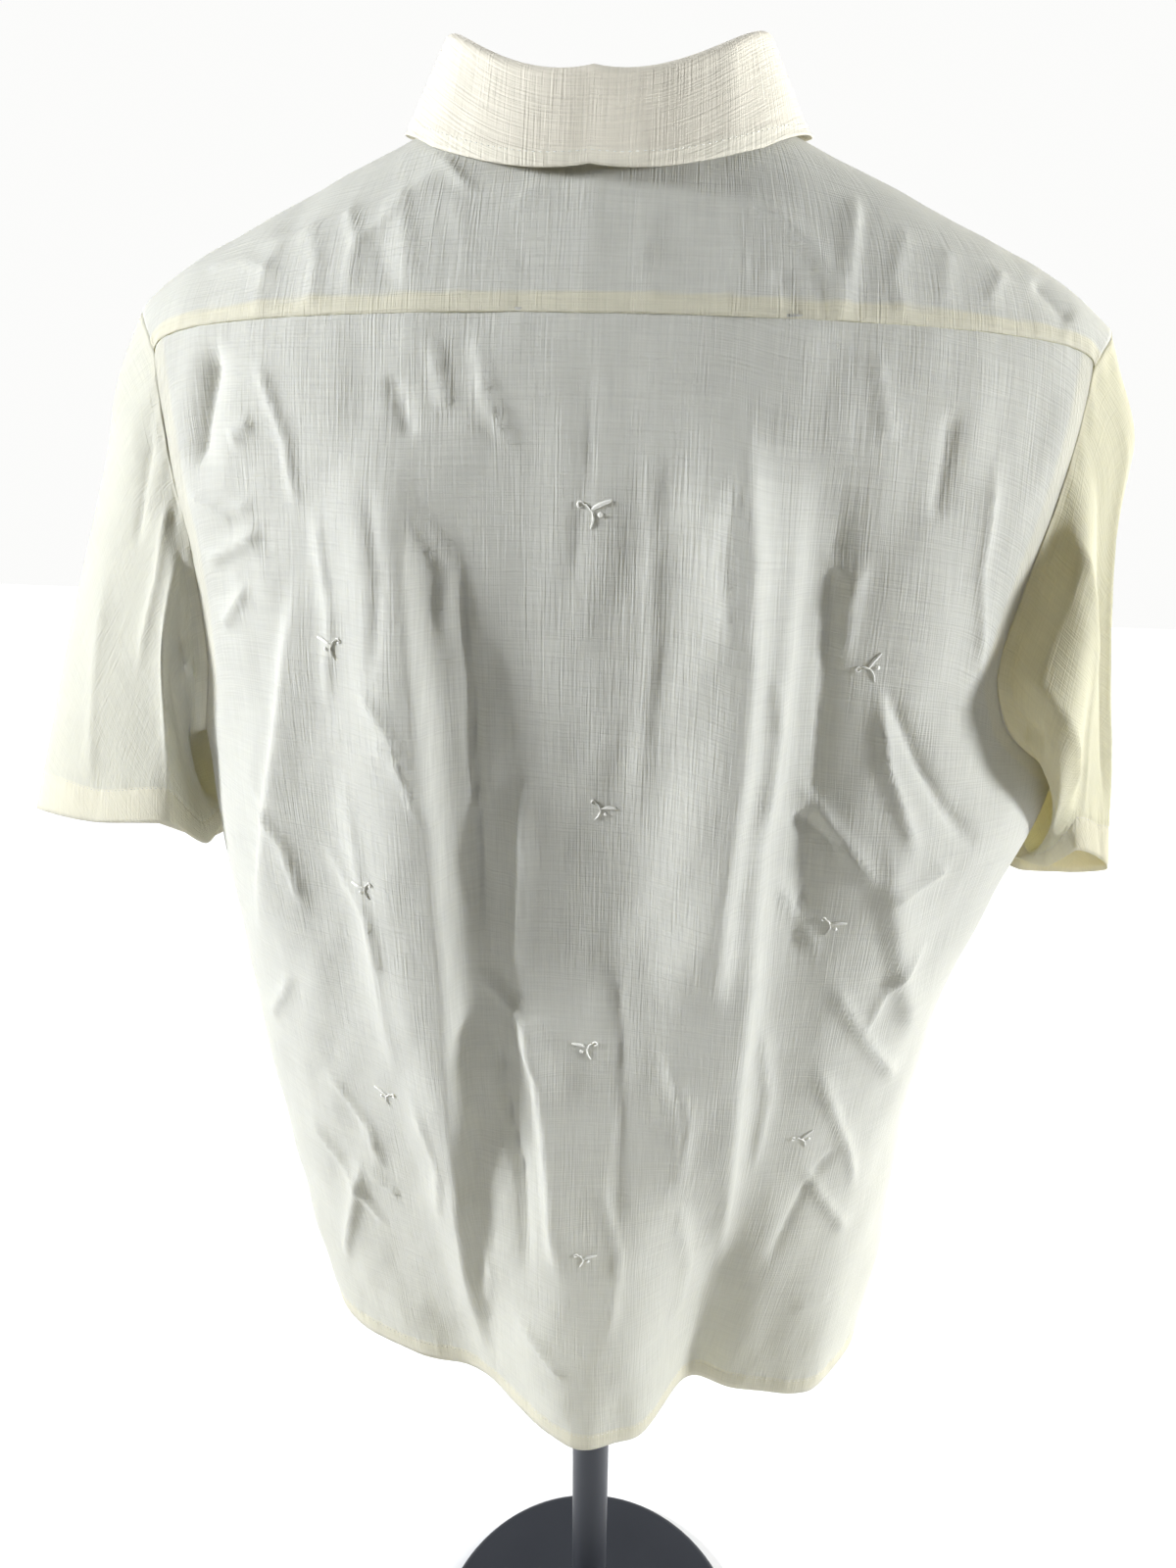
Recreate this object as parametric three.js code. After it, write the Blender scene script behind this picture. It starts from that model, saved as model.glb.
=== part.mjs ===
import * as THREE from 'three';

// A short-sleeved camp shirt of thin voile on a limbless dress form, back towards +Y. Sizes in millimetres.

// Cloth and seams
const wall = 1.5;
const sleeveWall = 1.2;
const seamGap = 0.4;
const hemHeight = 431;
const armpitHeight = 868;
const shoulderRound = 2.5;
const frontLap = 16;

// The body's sections: half-width on the wearer's left and right, depth behind and before, squareness
const bodySections = [
  { height: 431, left: 185, right: 185, back: 74, front: 84, square: 2.2 },
  { height: 520, left: 197, right: 193, back: 86, front: 95, square: 2.2 },
  { height: 620, left: 207, right: 194, back: 98, front: 106, square: 2.2 },
  { height: 710, left: 213, right: 202, back: 108, front: 115, square: 2.3 },
  { height: 800, left: 218, right: 224, back: 115, front: 121, square: 2.3 },
  { height: 868, left: 221, right: 244, back: 119, front: 124, square: 2.2 },
  { height: 930, left: 230, right: 240, back: 121, front: 124, square: 1.95 },
  { height: 1090, left: 250, right: 252, back: 121, front: 122, square: 2.0 },
];

// How far out the armhole seam runs at each height, behind on the left and right and in front
const armholes = [
  { height: 868, left: 221, right: 244, front: 222 },
  { height: 886, left: 208, right: 226, front: 202 },
  { height: 912, left: 199, right: 202, front: 186 },
  { height: 940, left: 195, right: 193, front: 180 },
  { height: 980, left: 196, right: 201, front: 182 },
  { height: 1020, left: 204, right: 212, front: 190 },
  { height: 1072, left: 212, right: 222, front: 204 },
  { height: 1100, left: 218, right: 228, front: 212 },
];

// The top line of the shoulders, from the middle outwards
const shoulders = [
  { out: 0, height: 1186 },
  { out: 70, height: 1170 },
  { out: 100, height: 1157 },
  { out: 172, height: 1124 },
  { out: 212, height: 1104 },
  { out: 234, height: 1087 },
  { out: 250, height: 1074 },
];

// Upright folds of the body: place across and reach at the hem, where each dies out above
const backFolds = [
  { across: -5, deep: 44, wide: 50, lean: 0, top: 850 },
  { across: -72, deep: -20, wide: 20, lean: -10, top: 760 },
  { across: -44, deep: 8, wide: 13, lean: 0, top: 640 },
  { across: -155, deep: 14, wide: 30, lean: 0, top: 700 },
  { across: 72, deep: -6, wide: 22, lean: 20, top: 800 },
];
const frontFolds = [
  { across: 118, deep: 14, wide: 34, lean: 10, top: 800 },
  { across: 72, deep: -9, wide: 22, lean: 6, top: 760 },
  { across: -104, deep: 16, wide: 36, lean: -12, top: 820 },
  { across: -60, deep: -8, wide: 20, lean: -4, top: 740 },
];

// Yoke and neck
const yokeSeamMiddle = 1095;
const yokeSeamEnd = 1072;
const neck = { halfWidth: 76, behind: 64, frontCorner: -34 };
const neckShare = 0.42;
const frontNeckDepth = 1040;
const shoulderBulge = 17;

// The sleeve hems, as places round them from the outer edge by way of the back: out, back and height
const leftHem = [
  { place: 'outer edge', out: 340, back: 10, height: 808 },
  { place: 'back', out: 288, back: 40, height: 817 },
  { place: 'back ridge', out: 234, back: 54, height: 826 },
  { place: 'valley', out: 234, back: 12, height: 792 },
  { place: 'inner edge', out: 228, back: -14, height: 803 },
  { place: 'front inner', out: 238, back: -44, height: 780 },
  { place: 'underarm', out: 266, back: -48, height: 762 },
  { place: 'front', out: 306, back: -34, height: 782 },
];
const rightHem = [
  { place: 'outer edge', out: 284, back: 8, height: 807 },
  { place: 'back', out: 274, back: 24, height: 822 },
  { place: 'back ridge', out: 254, back: 35, height: 833 },
  { place: 'valley', out: 247, back: 6, height: 808 },
  { place: 'inner edge', out: 243, back: -22, height: 796 },
  { place: 'front inner', out: 246, back: -64, height: 772 },
  { place: 'underarm', out: 264, back: -74, height: 760 },
  { place: 'front', out: 280, back: -44, height: 776 },
];

// Soft folds of the sleeves: place round, reach, place along, length, push outwards and backwards
const leftSleeveFolds = [
  { round: 0.27, wide: 0.11, along: 0.5, long: 0.4, out: 2, back: 7 },
  { round: 0.1, wide: 0.09, along: 0.55, long: 0.4, out: 4, back: 4 },
  { round: 0, wide: 0.12, along: 0.08, long: 0.1, out: 6, back: 0 },
  { round: 0.82, wide: 0.1, along: 0.5, long: 0.4, out: 4, back: -8 },
];
const rightSleeveFolds = [
  { round: 0.21, wide: 0.06, along: 0.3, long: 0.28, out: 4, back: 13 },
  { round: 0.11, wide: 0.06, along: 0.4, long: 0.3, out: 3, back: -8 },
  { round: 0.33, wide: 0.11, along: 0.5, long: 0.4, out: 10, back: 26 },
  { round: 0, wide: 0.12, along: 0.12, long: 0.16, out: 11, back: 0 },
  { round: 0.82, wide: 0.1, along: 0.5, long: 0.4, out: 4, back: -8 },
];

// Collar: height of its top fold over the neck seam and reach of its leaf
const collar = { standBack: 26, standSide: 34, fall: 32, fallSide: 38, spread: 12, ends: 146 };

// Form, stand and buttons
const form = { bottom: 640, chest: 165, depth: 84, neckTop: 1176, neckWide: 56, neckDeep: 50 };
const pole = { radius: 14 };
const base = { radius: 133, thickness: 16, edge: 5 };
const buttons = { count: 5, radius: 5.6, thickness: 2.4, top: 1008, spacing: 92 };

const clamp = (value, low, high) => Math.min(high, Math.max(low, value));
const mix = (a, b, share) => a + (b - a) * share;
const smooth = (share) => share * share * (3 - 2 * share);

// A column of a table read at any place, with smooth slopes that never overshoot
function read(table, by, column, at) {
  const last = table.length - 1;
  const place = clamp(at, table[0][by], table[last][by]);
  let row = 0;
  while (row < last - 1 && place > table[row + 1][by]) row += 1;
  const rise = (k) => (table[k + 1][column] - table[k][column]) / (table[k + 1][by] - table[k][by]);
  const slope = (k) => {
    if (k === 0) return rise(0);
    if (k === last) return rise(last - 1);
    const before = rise(k - 1);
    const after = rise(k);
    return before * after <= 0 ? 0 : (2 * before * after) / (before + after);
  };
  const span = table[row + 1][by] - table[row][by];
  const t = (place - table[row][by]) / span;
  const start = table[row][column] * (1 + 2 * t) * (1 - t) ** 2 + slope(row) * span * t * (1 - t) ** 2;
  return start + table[row + 1][column] * t * t * (3 - 2 * t) + slope(row + 1) * span * t * t * (t - 1);
}

// How far the body reaches behind (face 1) or before (face -1) at a place across and a height
function bodyDepth(x, z, face) {
  const half = read(bodySections, 'height', x > 0 ? 'left' : 'right', z);
  const deep = read(bodySections, 'height', face > 0 ? 'back' : 'front', z);
  const square = read(bodySections, 'height', 'square', z);
  const inside = clamp(1 - Math.abs(x / half) ** square, 0, 1);
  return deep * inside ** (1 / square);
}

// The shoulders' surface at a place across, turned from the back (0) over the top (a quarter) to the front (half)
function shoulderPoint(x, turn) {
  const ridge = read(shoulders, 'out', 'height', Math.abs(x));
  const z = armpitHeight + (ridge - armpitHeight) * Math.abs(Math.sin(turn)) ** (2 / shoulderRound);
  const face = turn < Math.PI / 2 ? 1 : -1;
  const y = face * bodyDepth(x, z, face) * Math.abs(Math.cos(turn)) ** (2 / shoulderRound);
  return new THREE.Vector3(x, y, z);
}

function turnAtHeight(x, z) {
  const ridge = read(shoulders, 'out', 'height', Math.abs(x));
  const share = clamp((z - armpitHeight) / (ridge - armpitHeight), 0, 1);
  return Math.asin(share ** (shoulderRound / 2));
}

function turnAtDepth(x, y) {
  const face = y >= 0 ? 1 : -1;
  const deep = bodyDepth(x, 1120, face);
  return Math.acos(face * clamp(Math.abs(y) / deep, 0, 1) ** (shoulderRound / 2));
}

function foldDepth(folds, x, z) {
  let sum = 0;
  for (const fold of folds) {
    const risen = clamp((z - hemHeight) / (fold.top - hemHeight), 0, 1);
    const centre = fold.across + fold.lean * risen;
    const wide = fold.wide * (1 + 0.5 * risen);
    sum += fold.deep * (1 - smooth(risen)) * Math.exp(-(((x - centre) / wide) ** 2));
  }
  return sum;
}

// A point of the body's cloth behind or before, from the hem up to the yoke seam
function bodyPoint(x, z, face, folds) {
  const turn = z > armpitHeight ? turnAtHeight(x, z) : 0;
  const round = Math.abs(Math.cos(turn)) ** (2 / shoulderRound);
  const half = read(bodySections, 'height', x > 0 ? 'left' : 'right', z);
  const ease = 1 - smooth(clamp((Math.abs(x) / half - 0.8) / 0.2, 0, 1));
  const y = bodyDepth(x, z, face) * round + foldDepth(folds, x, z) * ease;
  return new THREE.Vector3(x, face * (y + seamGap / 2), z);
}

function edgeAt(z, side, face) {
  const column = side > 0 ? 'left' : 'right';
  if (z <= armpitHeight) return read(bodySections, 'height', column, z);
  if (face > 0) return read(armholes, 'height', column, z);
  const share = smooth(clamp((z - armpitHeight) / 64, 0, 1));
  const behind = read(armholes, 'height', column, z);
  return mix(behind, read(armholes, 'height', 'front', z), share);
}

const yokeSeamHeight = (share) => mix(yokeSeamMiddle, yokeSeamEnd, Math.abs(share) ** 1.8);
const spread = (share) => Math.sin((share * Math.PI) / 2);

// Closed cloth from a grid of points on its outer face: the inner face, then a rim all round
function cloth(rows, columns, at, thickness = wall) {
  const outer = [];
  for (let j = 0; j <= rows; j += 1) {
    for (let i = 0; i <= columns; i += 1) outer.push(at(i / columns, j / rows));
  }
  const wide = columns + 1;
  const normals = outer.map(() => new THREE.Vector3());
  const quads = [];
  for (let j = 0; j < rows; j += 1) {
    for (let i = 0; i < columns; i += 1) {
      const a = j * wide + i;
      quads.push([a, a + 1, a + wide + 1, a + wide]);
    }
  }
  for (const [a, b, c, d] of quads) {
    const across = outer[c].clone().sub(outer[a]);
    const other = outer[d].clone().sub(outer[b]);
    const facing = across.cross(other);
    for (const k of [a, b, c, d]) normals[k].add(facing);
  }
  const inner = outer.map((p, k) => p.clone().addScaledVector(normals[k].normalize(), -thickness));
  const count = outer.length;
  const faces = [];
  const quad = (a, b, c, d) => faces.push(a, b, c, a, c, d);
  for (const [a, b, c, d] of quads) {
    quad(a, b, c, d);
    quad(a + count, d + count, c + count, b + count);
  }
  for (let i = 0; i < columns; i += 1) {
    const top = rows * wide + i;
    quad(i + 1, i, i + count, i + 1 + count);
    quad(top, top + 1, top + 1 + count, top + count);
  }
  for (let j = 0; j < rows; j += 1) {
    const left = j * wide;
    const right = left + columns;
    quad(left, left + wide, left + wide + count, left + count);
    quad(right + wide, right, right + count, right + wide + count);
  }
  return solid([...outer, ...inner], faces);
}

// Closed cloth from rings that go once round
function tubeOfCloth(rows, around, at) {
  const outer = [];
  for (let j = 0; j <= rows; j += 1) {
    for (let i = 0; i < around; i += 1) outer.push(at(i / around, j / rows));
  }
  const normals = outer.map(() => new THREE.Vector3());
  const index = (i, j) => j * around + (i % around);
  for (let j = 0; j < rows; j += 1) {
    for (let i = 0; i < around; i += 1) {
      const corners = [index(i, j), index(i + 1, j), index(i + 1, j + 1), index(i, j + 1)];
      const across = outer[corners[2]].clone().sub(outer[corners[0]]);
      const facing = across.cross(outer[corners[3]].clone().sub(outer[corners[1]]));
      for (const k of corners) normals[k].add(facing);
    }
  }
  const inner = outer.map((p, k) => p.clone().addScaledVector(normals[k].normalize(), -sleeveWall));
  const count = outer.length;
  const faces = [];
  const quad = (a, b, c, d) => faces.push(a, b, c, a, c, d);
  for (let j = 0; j < rows; j += 1) {
    for (let i = 0; i < around; i += 1) {
      const [a, b, c, d] = [index(i, j), index(i + 1, j), index(i + 1, j + 1), index(i, j + 1)];
      quad(a, b, c, d);
      quad(a + count, d + count, c + count, b + count);
    }
  }
  for (let i = 0; i < around; i += 1) {
    quad(index(i + 1, 0), index(i, 0), index(i, 0) + count, index(i + 1, 0) + count);
    const [a, b] = [index(i, rows), index(i + 1, rows)];
    quad(a, b, b + count, a + count);
  }
  return solid([...outer, ...inner], faces);
}

function solid(points, faces) {
  const geometry = new THREE.BufferGeometry();
  const flat = points.flatMap((p) => [p.x, p.y, p.z]);
  geometry.setAttribute('position', new THREE.Float32BufferAttribute(flat, 3));
  geometry.setIndex(faces);
  if (signedVolume(points, faces) < 0) {
    for (let k = 0; k < faces.length; k += 3) [faces[k], faces[k + 1]] = [faces[k + 1], faces[k]];
    geometry.setIndex(faces);
  }
  geometry.computeVertexNormals();
  return geometry;
}

function signedVolume(points, faces) {
  let sum = 0;
  for (let k = 0; k < faces.length; k += 3) {
    const [a, b, c] = [points[faces[k]], points[faces[k + 1]], points[faces[k + 2]]];
    sum += a.dot(b.clone().cross(c));
  }
  return sum / 6;
}

const shirt = new THREE.Group();
shirt.name = 'camp_shirt_on_dress_form';
const voile = { color: 0xe9ead8, roughness: 0.92, metalness: 0 };

function add(name, geometry, look) {
  const mesh = new THREE.Mesh(geometry, new THREE.MeshStandardMaterial({ ...look }));
  mesh.name = name;
  shirt.add(mesh);
}

// Rows lie closer together over the armholes than below them
const rowPlace = (up) => up + 0.12 * Math.sin(Math.PI * up);

// Back, from the hem to the yoke seam
function backPoint(share, up) {
  const s = 1 - 2 * share;
  const top = yokeSeamHeight(s) - seamGap / 2;
  const z = mix(hemHeight, top, rowPlace(up));
  const x = edgeAt(z, s, 1) * spread(s);
  return bodyPoint(x, z, 1, backFolds);
}
add('back_panel', cloth(24, 36, backPoint), voile);

// Yoke: each column starts on the back seam and ends at the neck or on the front seam
const neckCornerTurn = Math.acos(neck.frontCorner / neck.behind);
function neckPoint(share) {
  const turn = share * neckCornerTurn;
  return { x: neck.halfWidth * Math.sin(turn), y: neck.behind * Math.cos(turn) };
}

function yokeEnd(share) {
  if (Math.abs(share) <= neckShare) {
    const place = neckPoint(share / neckShare);
    return { x: place.x, turn: turnAtDepth(place.x, place.y) };
  }
  const corner = neckPoint(1);
  const along = (Math.abs(share) - neckShare) / (1 - neckShare);
  const side = Math.sign(share);
  const x = side * mix(corner.x, edgeAt(1096, side, -1), along);
  return { x, turn: turnAtDepth(x, neck.frontCorner) };
}

function yokePoint(share, up) {
  const s = 1 - 2 * share;
  const z = yokeSeamHeight(s) + seamGap / 2;
  const startX = edgeAt(z, s, 1) * spread(s);
  const startTurn = turnAtHeight(startX, z);
  const end = yokeEnd(Math.asin(clamp(spread(s), -1, 1)) / (Math.PI / 2));
  const bulge = Math.sign(s) * Math.abs(s) ** 6 * shoulderBulge * Math.sin(up * Math.PI);
  return shoulderPoint(mix(startX, end.x, up) + bulge, mix(startTurn, end.turn, up));
}
add('back_yoke', cloth(10, 36, yokePoint), voile);

// Fronts: up to the yoke's front seam, or to the open neck's slanting edge
function frontTop(x) {
  const corner = neckPoint(1);
  const out = Math.abs(x);
  if (out < corner.x) {
    const cornerHeight = shoulderPoint(corner.x, turnAtDepth(corner.x, neck.frontCorner)).z;
    return mix(frontNeckDepth, cornerHeight, clamp(out / corner.x, 0, 1) ** 0.85) - 0.8;
  }
  return shoulderPoint(out, turnAtDepth(out, neck.frontCorner)).z - 0.8;
}

function frontPoint(side, share, up, lift = 0) {
  const inner = side > 0 ? -frontLap : -frontLap + 2;
  const s = mix(inner / 190, 1, share);
  let top = 1090;
  for (let k = 0; k < 6; k += 1) top = frontTop(edgeAt(top, side, -1) * Math.max(spread(s), 0));
  const z = mix(hemHeight, top, rowPlace(up));
  const x = side * edgeAt(z, side, -1) * spread(s);
  const lap = side > 0 ? (wall + 1.6) * (1 - smooth(clamp((x - frontLap - 10) / 50, 0, 1))) : 0;
  const point = bodyPoint(x, z, -1, frontFolds);
  point.y -= lap + lift;
  return point;
}
add('left_front', cloth(20, 16, (share, up) => frontPoint(1, share, up)), voile);
add('right_front', cloth(20, 16, (share, up) => frontPoint(-1, 1 - share, up)), voile);

// The armhole's whole edge: from the shoulder tip down the back to the armpit and up the front
function armhole(side, share) {
  const tipTurn = 0.09;
  const column = side > 0 ? 0 : 1;
  if (share < tipTurn || share > 1 - tipTurn) {
    const up = share < tipTurn ? 0.5 - (0.5 * share) / tipTurn : 0.5 + (0.5 * (1 - share)) / tipTurn;
    return yokePoint(column, up);
  }
  if (share <= 0.5) {
    const down = (share - tipTurn) / (0.5 - tipTurn);
    const z = mix(yokeSeamEnd, armpitHeight, down);
    return bodyPoint(side * edgeAt(z, side, 1), z, 1, []);
  }
  const risen = (share - 0.5) / (0.5 - tipTurn);
  const z = mix(armpitHeight, frontTop(edgeAt(1090, side, -1)), risen);
  return bodyPoint(side * edgeAt(z, side, -1), z, -1, []);
}

// A sleeve runs from the armhole to its hem, swelled by its folds and kept clear of the body's side
function sleevePoint(hem, folds, side, share, along) {
  const head = armhole(side, share);
  const lowEase = head.y < 0 ? 5 : 3;
  head.x += side * (1.8 + lowEase * smooth(clamp((970 - head.z) / 50, 0, 1)));
  const end = ring(hem.map((row) => new THREE.Vector3(side * row.out, row.back, row.height)), share);
  const under = smooth(clamp((0.38 - Math.abs(share - 0.5)) / 0.2, 0, 1));
  const away = head.clone().add(new THREE.Vector3(side * 17 * under, 0, -26 * under));
  const straight = head.clone().lerp(end, 0.5);
  const middle = straight.lerp(away, under);
  const point = head
    .clone()
    .multiplyScalar((1 - along) ** 2)
    .addScaledVector(middle, 2 * along * (1 - along))
    .addScaledVector(end, along * along);
  for (const fold of folds) {
    const far = Math.abs(share - fold.round);
    const near = Math.min(far, 1 - far) / fold.wide;
    const reach = Math.exp(-(near ** 2) - ((along - fold.along) / fold.long) ** 2) * smooth(Math.min(1, along * 5));
    point.x += side * fold.out * reach;
    point.y += fold.back * reach;
  }
  const column = side > 0 ? 'left' : 'right';
  const half = read(bodySections, 'height', column, point.z);
  const deep = read(bodySections, 'height', point.y > 0 ? 'back' : 'front', point.z);
  const square = read(bodySections, 'height', 'square', point.z);
  const byDepth = half * clamp(1 - Math.abs(point.y / deep) ** square, 0, 1) ** (1 / square);
  const behind = smooth(clamp((point.y + 30) / 60, 0, 1));
  const bySeam = mix(edgeAt(point.z, side, -1), edgeAt(point.z, side, 1), behind);
  const clear = wall + mix(4, 2, behind);
  const short = Math.min(byDepth, bySeam) + clear - Math.abs(point.x);
  const low = smooth(clamp((1010 - point.z) / 50, 0, 1));
  point.x += side * low * (short + Math.hypot(short, 4)) * 0.5;
  return point;
}

// A smooth line through points, open or closed
function hermite(path, k, t, closed) {
  const n = path.length;
  const pick = (i) => (closed ? path[(i + n) % n] : path[clamp(i, 0, n - 1)]);
  const [a, b, c, d] = [pick(k - 1), pick(k), pick(k + 1), pick(k + 2)];
  const slopeB = c.clone().sub(a).multiplyScalar(0.42);
  const slopeC = d.clone().sub(b).multiplyScalar(0.42);
  return b
    .clone()
    .multiplyScalar((1 + 2 * t) * (1 - t) ** 2)
    .addScaledVector(slopeB, t * (1 - t) ** 2)
    .addScaledVector(c, t * t * (3 - 2 * t))
    .addScaledVector(slopeC, t * t * (t - 1));
}

function ring(points, share) {
  const at = share * points.length;
  const k = Math.floor(at) % points.length;
  return hermite(points, k, at - Math.floor(at), true);
}
add('left_sleeve', tubeOfCloth(12, 32, (a, b) => sleevePoint(leftHem, leftSleeveFolds, 1, a, b)), voile);
add('right_sleeve', tubeOfCloth(12, 32, (a, b) => sleevePoint(rightHem, rightSleeveFolds, -1, a, b)), voile);

// Collar: up from the neck seam, over its top fold and down the leaf; its front ends lie on the fronts
function collarPoint(share, up) {
  const s = 1 - 2 * share;
  const turn = (s * collar.ends * Math.PI) / 180;
  const side = Math.abs(Math.sin(turn)) ** 1.6;
  const seam = neckSeamPoint(turn);
  const stand = mix(collar.standBack, collar.standSide, side);
  const fall = mix(collar.fall, collar.fallSide, side);
  const ahead = smooth(clamp((Math.abs(s) * collar.ends - 100) / 50, 0, 1));
  const outwards = new THREE.Vector3(Math.sin(turn), Math.cos(turn), 0);
  const roll = 3.2;
  const lean = 2.4 + 6 * side;
  const standShare = 0.4;
  const rollShare = 0.6;
  const point = seam.clone();
  if (up < standShare) {
    const t = up / standShare;
    point.z += t * (stand - roll) * (1 - 0.5 * ahead);
    return point.addScaledVector(outwards, -lean * t);
  }
  point.z += (stand - roll) * (1 - 0.5 * ahead);
  point.addScaledVector(outwards, -lean);
  if (up < rollShare) {
    const t = ((up - standShare) / (rollShare - standShare)) * Math.PI;
    point.z += roll * Math.sin(t);
    return point.addScaledVector(outwards, roll * (1 - Math.cos(t)));
  }
  const t = (up - rollShare) / (1 - rollShare);
  point.z -= t * fall * (1 + 0.25 * ahead);
  point.addScaledVector(outwards, 2 * roll + t * (collar.spread + 12 * ahead + 8 * side));
  const rest = shoulderPoint(point.x, turnAtDepth(point.x, point.y)).z + wall + 1.4 + 5 * ahead;
  point.z = Math.max(point.z, rest);
  return point;
}

function neckSeamPoint(turn) {
  const limit = Math.min(Math.abs(turn), neckCornerTurn);
  const side = Math.sign(turn) || 1;
  const x = (neck.halfWidth - wall - 0.6) * Math.sin(limit);
  const y = (neck.behind - wall - 0.6) * Math.cos(limit);
  const edge = neckPoint(limit / neckCornerTurn);
  const z = shoulderPoint(edge.x, turnAtDepth(edge.x, edge.y)).z + 0.6;
  const beyond = Math.abs(turn) - limit;
  const point = new THREE.Vector3(side * x, y, z);
  return point.add(new THREE.Vector3(-side * beyond * 34, -beyond * 78, -beyond * 34));
}
add('collar', cloth(14, 34, collarPoint), { ...voile, color: 0xe8e0c6 });

// Lapels: the front's facing turned back over it, made from the front's own points moved out
function lapelPoint(side, share, up) {
  const across = mix(0.17, 0.27, side > 0 ? share : 1 - share);
  return frontPoint(side, across, mix(0.8, 0.93, up), wall + 0.8);
}
add('left_lapel', cloth(10, 6, (a, b) => lapelPoint(1, a, b)), voile);
add('right_lapel', cloth(10, 6, (a, b) => lapelPoint(-1, a, b)), voile);

// Buttons down the left front's edge
function buttonShape() {
  const { radius, thickness } = buttons;
  const profile = [
    [0, 0],
    [radius, 0],
    [radius, thickness * 0.6],
    [radius * 0.86, thickness],
    [radius * 0.62, thickness * 0.72],
    [0, thickness * 0.72],
  ].map(([r, y]) => new THREE.Vector2(r, y));
  return new THREE.LatheGeometry(profile, 16);
}
for (let k = 0; k < buttons.count; k += 1) {
  const z = buttons.top - k * buttons.spacing;
  const above = bodyPoint(0, z + 6, -1, frontFolds).y;
  const below = bodyPoint(0, z - 6, -1, frontFolds).y;
  const geometry = buttonShape();
  geometry.rotateX(Math.PI + Math.atan((above - below) / 12));
  geometry.translate(0, (above + below) / 2 - wall - 2.65, z);
  add(`button_${k + 1}`, geometry, { color: 0xf2efe2, roughness: 0.35, metalness: 0 });
}

// Dress form: chest rings closed by a flat underside, then the shoulders up to a plain neck
function formShape() {
  const around = 40;
  const rings = [];
  const ringOf = (make) => {
    const points = [];
    for (let i = 0; i < around; i += 1) {
      const turn = (i / around) * 2 * Math.PI;
      points.push(make(Math.sin(turn), Math.cos(turn)));
    }
    rings.push(points);
  };
  for (const [z, share] of [[form.bottom, 0.8], [700, 0.86], [780, 0.95], [armpitHeight, 1]]) {
    ringOf((a, b) => new THREE.Vector3(form.chest * share * a, form.depth * share * b, z));
  }
  for (const share of [0.985, 0.95, 0.88, 0.78, 0.66, 0.54, 0.44]) {
    ringOf((a, b) => {
      const x = form.chest * share * a;
      const y = form.depth * share * b;
      const edge = form.depth * Math.sqrt(clamp(1 - (x / form.chest) ** 2, 0, 1));
      const top = read(shoulders, 'out', 'height', Math.abs(x)) - wall - 0.5;
      const round = clamp(1 - (Math.abs(y) / edge) ** shoulderRound, 0, 1) ** (1 / shoulderRound);
      const z = armpitHeight + (top - armpitHeight) * round;
      return new THREE.Vector3(x, y, Math.min(z, form.neckTop - 20));
    });
  }
  for (const [z, share] of [[form.neckTop - 12, 0.92], [form.neckTop, 0.86]]) {
    ringOf((a, b) => new THREE.Vector3(form.neckWide * share * a, form.neckDeep * share * b, z));
  }
  const points = rings.flat();
  const faces = [];
  for (let j = 0; j < rings.length - 1; j += 1) {
    for (let i = 0; i < around; i += 1) {
      const next = (i + 1) % around;
      const [a, b] = [j * around + i, j * around + next];
      faces.push(a, b, b + around, a, b + around, a + around);
    }
  }
  const bottom = points.push(new THREE.Vector3(0, 0, form.bottom)) - 1;
  const top = points.push(new THREE.Vector3(0, 0, form.neckTop)) - 1;
  const lastRing = (rings.length - 1) * around;
  for (let i = 0; i < around; i += 1) {
    const next = (i + 1) % around;
    faces.push(bottom, next, i, top, lastRing + i, lastRing + next);
  }
  return solid(points, faces);
}
add('form_torso', formShape(), { color: 0xd9d4c8, roughness: 0.8, metalness: 0 });

// Stand: pole from the form down to the base, kept clear of both by a seam's gap
const poleBottom = base.thickness + 0.3;
const poleLength = form.bottom - 0.3 - poleBottom;
const poleShape = new THREE.CylinderGeometry(pole.radius, pole.radius, poleLength, 40);
poleShape.rotateX(Math.PI / 2);
poleShape.translate(0, 0, poleBottom + poleLength / 2);
const darkPaint = { color: 0x2f3338, roughness: 0.42, metalness: 0.3 };
add('stand_pole', poleShape, darkPaint);

function baseShape() {
  const { radius, thickness, edge } = base;
  const profile = [[0, 0], [radius - 2, 0], [radius, 2]];
  for (let k = 0; k <= 4; k += 1) {
    const turn = (k / 4) * (Math.PI / 2);
    profile.push([radius - edge + edge * Math.cos(turn), thickness - 4 - edge + edge * Math.sin(turn)]);
  }
  profile.push([40, thickness - 1], [22, thickness], [0, thickness]);
  return new THREE.LatheGeometry(profile.map(([r, y]) => new THREE.Vector2(r, y)), 48);
}
const baseGeometry = baseShape();
baseGeometry.rotateX(Math.PI / 2);
add('stand_base', baseGeometry, darkPaint);

export default shirt;
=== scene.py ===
import math
import random
import bpy
import numpy as np
from mathutils import Matrix, Vector
from mathutils.bvhtree import BVHTree


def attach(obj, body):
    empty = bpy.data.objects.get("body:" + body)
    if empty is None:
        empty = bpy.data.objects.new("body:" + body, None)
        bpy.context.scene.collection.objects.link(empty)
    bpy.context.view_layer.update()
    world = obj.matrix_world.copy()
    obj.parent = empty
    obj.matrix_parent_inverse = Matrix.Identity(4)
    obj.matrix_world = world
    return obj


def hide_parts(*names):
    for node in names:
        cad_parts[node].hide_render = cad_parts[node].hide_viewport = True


# A camp shirt of ivory voile on a dress form, its back towards +Y. The tables are in millimetres.

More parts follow.
